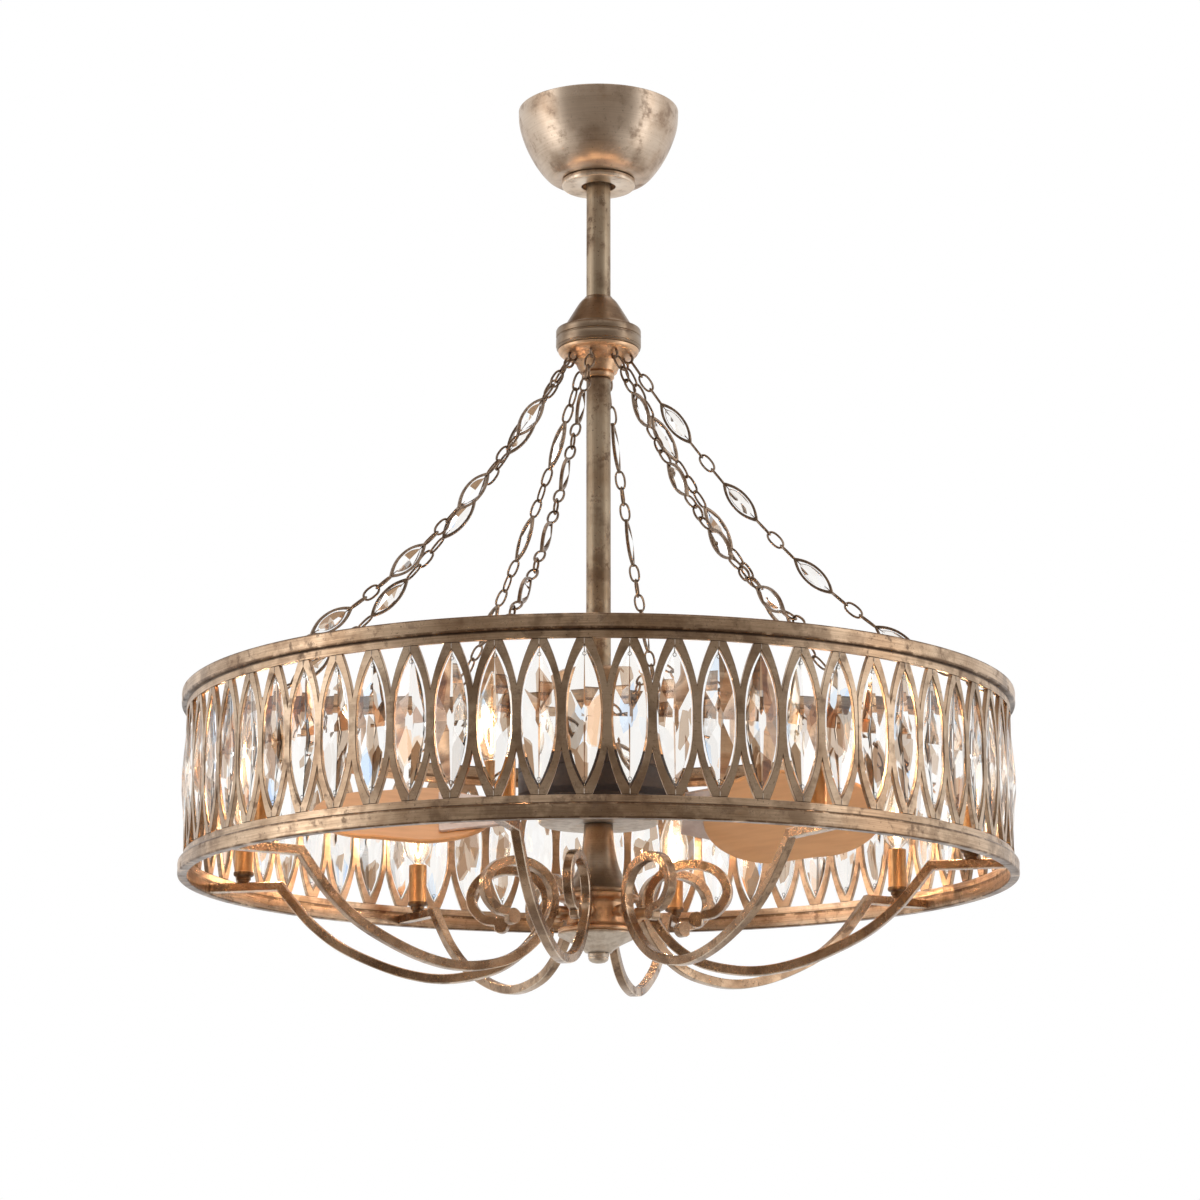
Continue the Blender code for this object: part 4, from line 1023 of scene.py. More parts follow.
@dataclass
class ChainCrown(Assembly):
    """Eight slack chains of wire links with crystals in bezels."""

    start: Pair = (0.0335, -0.28996)
    start_clear: float = 0.0057
    end: Pair = (0.4338, -0.683)
    sag: float = 0.057
    links_between: tuple = (3, 3, 3, 3, 5)
    bezel_length: float = 0.058
    bezel_width: float = 0.020
    bezel_depth: float = 0.0036
    bezel_edge: float = 0.0004
    bezel_rim: float = 0.0025
    bezel_lap: float = 0.0012
    bezel_tip: float = 0.0042
    stone_clear: float = 0.0008
    stone_inset: float = 0.0085
    pin_ends: Pair = (0.0125, 0.0035)
    pin_radius: float = 0.0005
    link_width: float = 0.0128
    wire_radius: float = 0.0013
    hook_wall: float = 0.4349
    hook_radius: float = 0.0011
    route_steps: int = 300
    link_steps: int = 22
    link_power: float = 0.85
    link_lap: float = 0.8
    bezel_steps: int = 14
    bezel_power: float = 2.2

    def route(self) -> list[Vector]:
        """The run of one chain in radius and height."""
        lean = self.start_clear * math.sqrt(0.5)
        start = Vector((self.start[0] + lean, self.start[1] - lean))
        points = []
        for step in range(self.route_steps + 1):
            t = step / self.route_steps
            point = start.lerp(Vector(self.end), t)
            point.y -= 4 * self.sag * t * (1 - t)
            points.append(point)
        return points

    def stations(self, points: Sequence[Vector]) -> Callable[[float], Vector]:
        """A function from a distance along the run to a place."""
        lengths = [0.0]
        for first, second in zip(points, points[1:]):
            lengths.append(lengths[-1] + (second - first).length)
        self.total = lengths[-1]

        def place(distance: float) -> Vector:
            """The place at a distance."""
            index = 1
            while index < len(points) - 1 and lengths[index] < distance:
                index += 1
            share = (distance - lengths[index - 1]) / (lengths[index] - lengths[index - 1])
            return points[index - 1].lerp(points[index], share)

        return place

    def seat(self, place: Callable[[float], Vector], start: float, length: float, turned: bool) -> Matrix:
        """Where a link or bezel lies between two points of the run.

        Args:
            place: the run's places.
            start: the distance where the link starts.
            length: how long it is.
            turned: whether its wide side stands up.

        Returns:
            The matrix from the XZ plane, with the length along X.
        """
        first, last = place(start), place(start + length)
        along = Vector((last.x - first.x, 0.0, last.y - first.y)).normalized()
        side = Vector((0.0, 1.0, 0.0))
        up = along.cross(side)
        wide, deep = (-up, side) if turned else (side, up)
        middle = (first + last) / 2
        matrix = Matrix((along, deep, wide)).transposed().to_4x4()
        return shift(middle.x, 0.0, middle.y) @ matrix

    def build_link(self, pitch: float) -> Piece:
        """Model one wire link in the XZ plane.

        Args:
            pitch: the distance from link to link.

        Returns:
            The link.
        """
        across = self.link_width / 2 - self.wire_radius
        along = pitch / 2 + self.wire_radius * self.link_lap
        oval = []
        for step in range(self.link_steps):
            angle = math.tau * step / self.link_steps
            wide, high = math.cos(angle), math.sin(angle)
            oval.append(Vector((along * math.copysign(abs(wide) ** self.link_power, wide), 0.0,
                                across * math.copysign(abs(high) ** self.link_power, high))))
        return wire("link", oval, self.wire_radius, closed=True, sides=1)

    def bezel_outline(self, half_length: float, half_width: float) -> list[Pair]:
        """A pointed oval along X."""
        upper = []
        for step in range(self.bezel_steps + 1):
            share = -1 + 2 * step / self.bezel_steps
            upper.append((half_length * share, half_width * (1 - abs(share) ** self.bezel_power)))
        return upper + [(along, -across) for along, across in upper[-2:0:-1]]

    def build_bezel(self) -> Piece:
        """Model one bezel in the XZ plane."""
        half_length = self.bezel_length / 2
        outer = self.bezel_outline(half_length + self.bezel_lap, self.bezel_width / 2)
        inner = self.bezel_outline(half_length - self.bezel_tip, self.bezel_width / 2 - self.bezel_rim)
        bezel = flat_plate("bezel", [outer, inner], self.bezel_depth, self.bezel_edge)
        settle_place(bezel, about('X', QUARTER_TURN))
        round_edges(bezel, 0.0)
        return bezel

    def build(self) -> None:
        """Model and dress the chains."""
        place = self.stations(self.route())
        bezels = len(self.links_between) - 1
        pitch = (self.total - bezels * self.bezel_length) / sum(self.links_between)
        link = self.build_link(pitch)
        bezel = self.build_bezel()
        stone = Marquise(self.bezel_width / 2 - self.bezel_rim - self.stone_clear,
                         self.bezel_length / 2 - self.stone_inset, half_depth=0.0042, girdle=0.0012,
                         tip=0.0008, points=24).build("bezel_stone")
        settle_place(stone, about('Y', QUARTER_TURN))
        wires, stones, distance = [], [], 0.0
        for group, links in enumerate(self.links_between):
            for index in range(links):
                wires.append(copy_piece(link, "link", self.seat(place, distance, pitch, index % 2 == 1)))
                distance += pitch
            if group < bezels:
                spot = self.seat(place, distance, self.bezel_length, True)
                wires += [copy_piece(bezel, "bezel_copy", spot), *self.pins(spot)]
                stones.append(copy_piece(stone, "stone_copy", spot))
                distance += self.bezel_length
        wires.append(self.ring_hook())
        remove(link, bezel, stone)
        chain = join_pieces("chain_wire", wires)
        crystals = join_pieces("chain_stones", stones)
        for index in range(ARMS):
            turn = arm_turn(math.tau * index / ARMS)
            links = copy_piece(chain, f"chain_links_{index + 1}", turn)
            finish_piece(links, self.finishes.chain, Slot.CHAIN, [f"chain_{index + 1}"])
            glass = copy_piece(crystals, f"chain_crystals_{index + 1}", turn)
            finish_piece(glass, self.finishes.crystal, Slot.BULB)
        remove(chain, crystals)

    def pins(self, spot: Matrix) -> list[Piece]:
        """The two pins that hold a stone in its bezel."""
        made = []
        for side in (-1, 1):
            ends = [Vector((side * (self.bezel_length / 2 - inset), 0.0, 0.0)) for inset in self.pin_ends]
            made.append(settle_place(wire("pin", ends, self.pin_radius), spot))
        return made

    def ring_hook(self) -> Piece:
        """The hook on the ring's inner wall that the last link hangs on."""
        run = near(*self.end, (-3.0, -6.5), (-5.2, -4.8), (-6.0, -1.8), (-5.2, 1.2), (-3.0, 2.6), (-0.6, 1.8))
        points = [Vector((radius, 0.0, height)) for radius, height in [(self.hook_wall, run[0][1]), *run]]
        return wire("hook", points, self.hook_radius)


@dataclass
class Drum(Assembly):
    """Two rings and the row of pointed ovals with their crystals."""

    top: float = -0.671
    radius: float = 0.44499
    inner_radius: float = 0.435
    strip_radius: float = 0.4395
    band_height: float = 0.015
    strip_height: float = 0.008
    opening_height: float = 0.1506
    middle_radius: float = 0.43725
    strip_depth: float = 0.0045
    strip_edge: float = 0.0004
    stone_share: float = 0.90
    stone_inset: float = 0.0035
    loop: Pair = (0.0015, 0.0018)
    loop_inset: float = 0.0085
    stem_reach: float = 0.0045
    stem_radius: float = 0.0004
    seam_reach: Pair = (0.0012, 0.0062)
    seam_rise: float = 0.0001
    fine_radius: float = 0.00035
    inner_share: float = 0.8116
    outer_share: float = 1.138
    foot_share: float = 0.35
    point_share: float = 0.91
    power: float = 2.6
    steps: int = 20
    strip_steps: int = 6
    pin_steps: int = 12

    def __post_init__(self) -> None:
        """Work out the oval from the ring."""
        self.pitch = math.tau * self.middle_radius / OVALS
        self.inner_half = self.pitch / 2 * self.inner_share
        self.outer_half = self.pitch / 2 * self.outer_share
        self.foot_half = self.pitch / 2 * self.foot_share
        self.tip_half = self.opening_height / 2 * self.point_share
        self.opening_top = self.top - self.band_height - self.strip_height
        self.opening_bottom = self.opening_top - self.opening_height
        self.bottom = self.opening_bottom - self.band_height - self.strip_height
        self.middle = (self.opening_top + self.opening_bottom) / 2
        self.count = OVALS // PANELS
        self.from_middle = [index - (self.count - 1) / 2 for index in range(self.count)]

    def build(self) -> None:
        """Model and dress the drum."""
        self.build_ring("ring_top", "top_ring", self.top, -1)
        self.build_ring("ring_bottom", "bottom_ring", self.bottom, 1)
        panel = self.frame_panel()
        stone = Marquise(self.inner_half * self.stone_share, self.tip_half - self.stone_inset,
                         half_depth=0.0068, girdle=0.0016, tip=0.0010, power=2.3).build("oval_stone")
        pins = self.stone_pins()
        look = self.finishes
        for index in range(PANELS):
            number = index + 1
            turn = about('Z', math.tau * index / PANELS + math.pi / OVALS)
            finish_piece(copy_piece(panel, f"oval_frames_{number}", turn), look.frame_leaf, Slot.LEAF,
                         [f"lattice_{number}"], look.shaded_frame_edge)
            stones, hooks = [], []
            for oval in self.from_middle:
                spot = (turn @ about('Z', oval * math.tau / OVALS)
                        @ shift(0.0, -self.middle_radius, self.middle))
                stones.append(copy_piece(stone, "stone_copy", spot))
                hooks.append(copy_piece(pins, "pin_copy", spot))
            finish_piece(join_pieces(f"oval_crystals_{number}", stones), look.crystal, Slot.BULB)
            finish_piece(join_pieces(f"oval_pins_{number}", hooks), look.pin, Slot.STEEL)
        remove(panel, stone, pins)

    def build_ring(self, name: str, node: str, edge: float, way: int) -> None:
        """Model one ring from its outer edge towards the opening.

        Args:
            name: the piece's name.
            node: the CAD node that it replaces.
            edge: the height of its free edge.
            way: the direction of the opening, up or down.
        """
        band = edge + way * self.band_height
        mouth = band + way * self.strip_height
        profile = near(self.inner_radius, edge, (0, 0))
        profile += near(self.radius, edge, (-1.2, 0), (-0.3, way * 0.8), (0, way * 3.0))
        profile += near(self.radius, (edge + band) / 2, (-0.3, 0))
        profile += near(self.radius, band, (0, way * -2.6), (-0.4, way * -0.8), (-1.2, 0))
        profile += [(self.strip_radius, band), (self.strip_radius, mouth), (self.inner_radius, mouth)]
        self.turned(name, profile, self.finishes.ring_leaf, node, 256)

    def hole(self, centre: float) -> list[Pair]:
        """The opening of one oval."""
        right = []
        for step in range(self.steps + 1):
            share = math.sin((-0.5 + step / self.steps) * math.pi)
            right.append((self.inner_half * (1 - abs(share) ** self.power), self.tip_half * share))
        left = [(-across, height) for across, height in right[-2:0:-1]]
        return [(centre + across, height) for across, height in right + left]

    def outline(self, centres: Sequence[float]) -> list[Pair]:
        """The outside of one panel: strips from foot to notch."""
        half = self.opening_height / 2 - GAP
        fall = (self.outer_half - self.foot_half) / half ** 2
        notch = math.sqrt((self.outer_half - self.pitch / 2) / fall)
        heights = [notch + (half - notch) * step / self.strip_steps for step in range(self.strip_steps + 1)]
        below = []
        for centre in centres:
            for side, last in ((-1, centres[0]), (1, centres[-1])):
                run = [(centre + side * (self.outer_half - fall * height ** 2), -height)
                       for height in heights]
                seam = GAP / 2 if centre == last else 0.0
                run[0] = (centre + side * (self.pitch / 2 - seam), run[0][1])
                below += run[::-side]
        trimmed = [point for index, point in enumerate(below) if index == 0 or point != below[index - 1]]
        above = [(along, -height) for along, height in trimmed]
        return trimmed + above[::-1]

    def frame_panel(self) -> Piece:
        """Model a quarter of the ovals' frames, bent round the drum."""
        centres = [index * self.pitch for index in self.from_middle]
        panel = flat_plate("frame_panel", [self.outline(centres), *(self.hole(centre) for centre in centres)],
                           self.strip_depth, self.strip_edge)
        # The chamfer faces take the near-black trim leaf, painted shade on the frames' edges.
        mark_trim(panel, lambda face: is_chamfer(face.normal.z))
        for vertex in panel.data.vertices:
            along, height, out = vertex.co
            angle = along / self.middle_radius
            radius = self.middle_radius + out
            vertex.co = (radius * math.sin(angle), -radius * math.cos(angle), self.middle + height)
        panel.data.update()
        round_edges(panel, 0.0)
        return panel

    def stone_pins(self) -> Piece:
        """Model the wire loop, the pin and the seam at each tip of a stone, in the XZ plane."""
        angles = [math.tau * step / self.pin_steps for step in range(self.pin_steps)]
        front = -self.strip_depth / 2 - self.seam_rise
        wide, high = self.loop
        made = []
        for side in (-1, 1):
            middle = side * (self.tip_half - self.loop_inset)
            ring = [Vector((wide * math.cos(angle), 0.0, middle + high * math.sin(angle)))
                    for angle in angles]
            made.append(wire("loop", ring, self.fine_radius, closed=True, sides=1))
            stem = (middle + side * high, side * (self.tip_half + self.stem_reach))
            seam = tuple(side * (self.tip_half + reach) for reach in self.seam_reach)
            for name, depth, heights, radius in (("stem", 0.0, stem, self.stem_radius),
                                                 ("seam", front, seam, self.fine_radius)):
                made.append(wire(name, [Vector((0.0, depth, height)) for height in heights], radius, sides=1))
        return join_pieces("stone_pins", made)


@dataclass
class CandleArms(Assembly):
    """Scrolled arms with a candle and a bulb on each."""

    bar: float = 0.010
    bar_edge: float = 0.0009
    start_radius: float = 0.4344
    bend_radius: float = 0.355
    hub_radius: float = 0.056
    middle: float = -0.8606
    drop: float = 0.1054
    candle_radius: float = 0.397
    candle_height: float = 0.0545
    candle_mouth: float = 0.0070
    candle_depth: float = 0.0155
    cup_height: float = 0.007
    neck_height: float = 0.0044
    glass_lift: float = 0.003
    glow_lift: float = 0.0040
    glass_wall: float = 0.0007
    glass_neck: float = 0.0060
    roll_radius: float = 0.0085
    roll_steps: int = 22
    bulb_height: float = 0.078
    bulb_radius: float = 0.0172
    filament_loops: int = 3
    filament_share: float = 0.36
    filament_wire: float = 0.00035
    sweep: tuple = ((0.94, 0.21), (0.873, 0.415), (0.775, 0.63), (0.655, 0.80), (0.53, 0.93), (0.41, 0.995),
                    (0.30, 0.985), (0.18, 0.90), (0.085, 0.72), (0.02, 0.48), (0.0, 0.25), (0.025, 0.06),
                    (0.085, -0.055), (0.16, -0.085), (0.235, -0.02), (0.275, 0.12), (0.275, 0.27),
                    (0.235, 0.40), (0.19, 0.43))
    glass: tuple = ((0.0, 1.0), (0.05, 0.992), (0.12, 0.965), (0.24, 0.90), (0.44, 0.79), (0.72, 0.62),
                    (0.92, 0.47), (1.0, 0.34), (0.97, 0.23), (0.84, 0.13), (0.62, 0.06), (0.40, 0.015))

    def centre_line(self) -> list[Vector]:
        """The middle of an arm in radius and height."""
        span = self.bend_radius - self.hub_radius
        spots = [(self.bend_radius, self.middle)]
        sweep = shares(self.sweep, span, self.middle, self.drop)
        spots += [(self.hub_radius + out, height) for out, height in sweep]
        return [Vector((self.start_radius, self.middle))] + [Vector(point) for point in curved(spots, 7)]

    def beside(self, path: Sequence[Vector], distance: float) -> list[Vector]:
        """A line beside a path, mitred at its corners."""
        line = []
        for index, point in enumerate(path):
            before = (point - path[index - 1]).normalized() if index else None
            after = (path[index + 1] - point).normalized() if index < len(path) - 1 else before
            before = before or after
            middle = (before + after).normalized()
            line.append(point + Vector((-middle.y, middle.x)) * distance / middle.dot(after))
        return line

    def outline(self) -> list[Pair]:
        """The outline of an arm, closed by the roll of its scroll."""
        path = self.centre_line()
        heading = (path[-1] - path[-2]).normalized()
        side = Vector((-heading.y, heading.x))
        half_gap = math.asin(self.bar / 2 / self.roll_radius)
        centre = (path[-1] + side * (self.roll_radius - self.bar / 2)
                  + heading * self.roll_radius * math.cos(half_gap))
        roll = []
        for index in range(1, self.roll_steps):
            angle = half_gap + (math.tau - 2 * half_gap) * index / self.roll_steps
            roll.append(centre - heading * self.roll_radius * math.cos(angle)
                        + side * self.roll_radius * math.sin(angle))
        left = self.beside(path, self.bar / 2)
        right = self.beside(path, -self.bar / 2)
        return [tuple(point) for point in left + roll + right[::-1]]

    def build(self) -> None:
        """Model and dress the arms, candles and bulbs."""
        arm = flat_plate("arm_bar", [self.outline()], self.bar, self.bar_edge)
        settle_place(arm, about('X', QUARTER_TURN))
        round_edges(arm, 0.0)
        # The chamfer faces take the paler trim leaf, a painted highlight on the arms' edges.
        mark_trim(arm, lambda face: is_chamfer(face.normal.y))
        foot = self.middle + self.bar / 2 + GAP
        low = foot + self.candle_height + self.glow_lift
        glass = BulbFinish("lamp_glass", low, low + self.bulb_height).material()
        candle, bulb, filament, base = self.models(foot)
        look = self.finishes
        rows = (("arm_bar", arm, 0.0, look.bar_leaf, Slot.LEAF, "arm", look.bar_edge),
                ("candle_cup", candle, self.candle_radius, look.sleeve, Slot.LEAF, "candle", look.neck),
                ("bulb_glass", bulb, self.candle_radius, glass, Slot.BULB, "bulb", None),
                ("filament", filament, self.candle_radius, look.filament, Slot.BULB, None, None),
                ("bulb_base", base, self.candle_radius, look.zinc, Slot.STEEL, None, None))
        for number in range(1, ARMS + 1):
            turn = arm_turn(math.tau * (number - 1) / ARMS)
            for name, model, radius, material, slot, node, trim in rows:
                piece = copy_piece(model, f"{name}_{number}", turn @ shift(radius, 0.0, 0.0))
                finish_piece(piece, material, slot, [f"{node}_{number}"] if node else (), trim)
        remove(arm, candle, bulb, filament, base)

    def models(self, foot: float) -> tuple:
        """Model one candle, one bulb with its filament, and its screw base.

        Args:
            foot: the height of the arm's upper face.

        Returns:
            The candle, the glass, the filament and the base.
        """
        rim = foot + self.cup_height
        top = foot + self.candle_height
        outer = near(0, foot, (0, 0), (6.0, 0), (6.4, 0.6), (6.4, 2.2), (7.8, 3.0))
        outer += near(0, rim, (7.8, -1.0), (9.5, -0.4), (11.0, 0.8), (11.2, 2.6), (11.0, 4.2), (10.3, 4.6))
        outer += near(0, top, (10.3, -0.8), (9.6, 0))
        floor = top - self.candle_depth
        outer += [(self.candle_mouth, top), (self.candle_mouth, floor), (0.0, floor)]
        candle = turn_profile("candle", outer, 48, 0.0002)
        mark_trim(candle, lambda face: face.center.z < rim + self.neck_height)
        low = top + self.glass_lift
        wall = self.glass_wall
        shell = curved([(self.bulb_radius * wide, low + self.bulb_height * up) for wide, up in self.glass], 3)
        inner = curved([(max(self.bulb_radius * wide - wall, 0.0),
                         low + self.bulb_height * up - (wall if up > 0.5 else 0))
                        for wide, up in self.glass], 3)
        neck = near(self.glass_neck, low, (0, -1), (0, -4))
        neck += near(self.glass_neck - wall, low, (0, -4), (0, -1))
        bulb = turn_profile("bulb", shell + neck + inner[::-1], 32, 0.0)
        screw = near(0, low, (0, -1.5), (5.0, -1.5), (6.3, -4.5)) + near(0, top, (6.3, -15), (0, -15))
        base = turn_profile("base", screw, 24, 0.0002)
        return candle, bulb, self.filament(low), base

    def filament(self, low: float) -> Piece:
        """Model the looped filament.

        Args:
            low: the height of the glass's foot.

        Returns:
            The filament.
        """
        reach = self.bulb_radius * self.filament_share
        half = near(0, low, (1.2, 6)) + near(reach, low, (0, 20)) + near(reach * 0.92, low, (0, 40))
        half += near(0, low, (0.6, 30))
        points = [Vector((-out, 0.0, height)) for out, height in half]
        points += [Vector((out, 0.0, height)) for out, height in half[::-1]]
        made = []
        for index in range(self.filament_loops):
            turn = about('Z', math.pi * index / self.filament_loops)
            made.append(settle_place(wire("loop", points, self.filament_wire, sides=1), turn))
        return join_pieces("filament", made)


@dataclass
class FanMotor(Assembly):
    """Cover, housing, shaft, flywheel, irons, blades and fitter plate."""

    top: float = -0.640
    cover_height: float = 0.0985
    cover_bore: float = 0.01365
    cover_wall: float = 0.002
    neck: float = 0.046
    shoulder: float = 0.052
    radius: float = 0.086
    housing_height: float = 0.0475
    housing_step: float = 0.010
    bore: float = 0.0098
    wheel_top: float = -0.7883
    wheel_radius: float = 0.066
    wheel_thickness: float = 0.008
    tongue_thickness: float = 0.004
    tongue_edge: float = 0.0005
    iron_thickness: float = 0.003
    iron_edge: float = 0.0006
    plate_radius: float = 0.064
    plate_top: float = -0.7983
    plate_height: float = 0.007
    blades: int = 2
    blade_root: Pair = (0.112, 0.156)
    blade_tip: Pair = (0.305, 0.132)
    blade_thickness: float = 0.005
    blade_edge: float = 0.0012
    blade_drop: float = 0.0043
    blade_steps: int = 24
    first_angle: float = math.radians(106)
    pitch: float = math.radians(-30)
    screws: tuple = ((0.128, 0.0), (0.156, -0.034), (0.156, 0.034))

    def build(self) -> None:
        """Model and dress the fan."""
        self.build_cover()
        self.build_housing()
        dress_node("motor_shaft", self.finishes.zinc)
        self.build_plate()
        self.build_wheel()
        self.build_blades()

    def build_cover(self) -> None:
        """Model the bronze cover with its rounded shoulder."""
        top, wall = self.top, self.cover_wall
        bottom = top - self.cover_height
        outer = near(self.cover_bore, top, (0, 0)) + near(self.neck, top, (-3, 0), (0, -1.8))
        outer += near(self.shoulder, top, (0, -5), (0, -20), (-0.8, -21.2), (-0.8, -22.6), (0, -23.8))
        flare = near(self.shoulder, top, (0, -48)) + near(0, top, (56, -58), (66, -69), (78, -78))
        flare += near(self.radius, top, (-1.2, -83.5), (0, -88))
        outer += curved(flare, 4) + [(self.radius, bottom)]
        inner = [(radius - wall, height - wall * (index < 6))
                 for index, (radius, height) in enumerate(outer[2:-1])]
        profile = outer + [(self.radius - wall, bottom)] + inner[::-1] + [(self.cover_bore, top - wall)]
        self.turned("motor_bonnet", profile, self.finishes.orange_leaf, "motor_cover", edge=0.0004)

    def build_housing(self) -> None:
        """Model the dark housing with its groove and its step."""
        top = self.top - self.cover_height - GAP
        bottom = top - self.housing_height
        outer = near(self.radius, top, (-1.5, 0), (0, -1.5), (0, -12), (-0.8, -12.6), (-0.8, -14), (0, -14.6))
        outer += near(self.radius, bottom + self.housing_step, (0, 1.2), (-1, 0), (-4.5, -1.2), (-10, -5))
        outer += near(self.radius, bottom, (-10, 0))
        self.turned("motor_drum", [(self.bore, top), *outer, (self.bore, bottom)], self.finishes.motor,
                    "motor_housing", slot=Slot.MOTOR)

    def build_plate(self) -> None:
        """Model the pale plate under the motor."""
        top, bottom = self.plate_top, self.plate_top - self.plate_height
        profile = near(self.bore, top, (0, 0)) + near(self.plate_radius, top, (-0.8, 0), (0, -1.2))
        profile += near(self.plate_radius, bottom, (0, 1.6), (-2.4, 0))
        profile += near(0, bottom, (21.5, 0), (20.5, 0.6)) + near(self.bore, bottom, (0, 0.6))
        self.turned("fitter_disc", profile, self.finishes.pale, "fitter_plate", slot=Slot.PALE)

    def spin(self, index: int) -> Matrix:
        """The turn of a blade, to the middle height of the turning plate."""
        height = shift(0.0, 0.0, self.wheel_top - self.wheel_thickness / 2)
        return arm_turn(self.first_angle + math.tau * index / self.blades) @ height

    def blade_place(self, index: int) -> Matrix:
        """Where a blade and its iron sit."""
        return self.spin(index) @ about('X', self.pitch)

    def build_wheel(self) -> None:
        """Model the turning plate, the tongues and the widening irons."""
        top, bottom = self.wheel_top, self.wheel_top - self.wheel_thickness
        profile = near(self.bore, top, (0, 0)) + near(self.wheel_radius, top, (-1, 0), (0, -1))
        profile += near(self.wheel_radius, bottom, (0, 1), (-1, 0)) + near(self.bore, bottom, (0, 0))
        self.turned("turning_plate", profile, self.finishes.motor, "flywheel", edge=0.0, body=Body.ROTOR,
                    slot=Slot.MOTOR)
        tongue_outline = near(0, 0, (48, -36), (98, -34), (100, -32), (100, 32), (98, 34), (48, 36))
        iron_outline = near(0, 0, (90.5, -34), (168, -58), (170.5, -55.5), (170.5, 55.5), (168, 58),
                            (90.5, 34))
        screw_head = near(0, 0, (0, 0), (4.2, 0), (4.0, 1.2), (2.6, 2.2), (0, 2.5))
        irons = []
        for index in range(self.blades):
            tongue = flat_plate("tongue", [tongue_outline], self.tongue_thickness, self.tongue_edge)
            iron = flat_plate("iron", [iron_outline], self.iron_thickness, self.iron_edge)
            irons += [settle_place(tongue, self.spin(index)), settle_place(iron, self.blade_place(index))]
            for along, across in self.screws:
                head = turn_profile("screw", screw_head, 16, 0.0)
                seat = shift(along, across, self.iron_thickness / 2)
                irons.append(settle_place(head, self.blade_place(index) @ seat))
        piece = join_pieces("blade_irons", irons)
        round_edges(piece, 0.0)
        finish_piece(piece, self.finishes.holder, Slot.PALE, body=Body.ROTOR)

    def build_blades(self) -> None:
        """Model the paddle blades with softly rounded edges."""
        (root, root_width), (tip, tip_width) = self.blade_root, self.blade_tip
        outline = []
        for middle, corner, start in ((tip - tip_width / 2, tip_width / 2, -QUARTER_TURN),
                                      (root + root_width / 2, root_width / 2, QUARTER_TURN)):
            for step in range(self.blade_steps + 1):
                angle = start + math.pi * step / self.blade_steps
                outline.append((middle + corner * math.cos(angle), corner * math.sin(angle)))
        drop = shift(0.0, 0.0, -self.blade_drop)
        for index in range(self.blades):
            blade = flat_plate(f"paddle_{index + 1}", [outline], self.blade_thickness, self.blade_edge)
            settle_place(blade, self.blade_place(index) @ drop)
            round_edges(blade, 0.0)
            finish_piece(blade, self.finishes.blade, Slot.BLADE, [f"blade_{index + 1}"], body=Body.ROTOR)


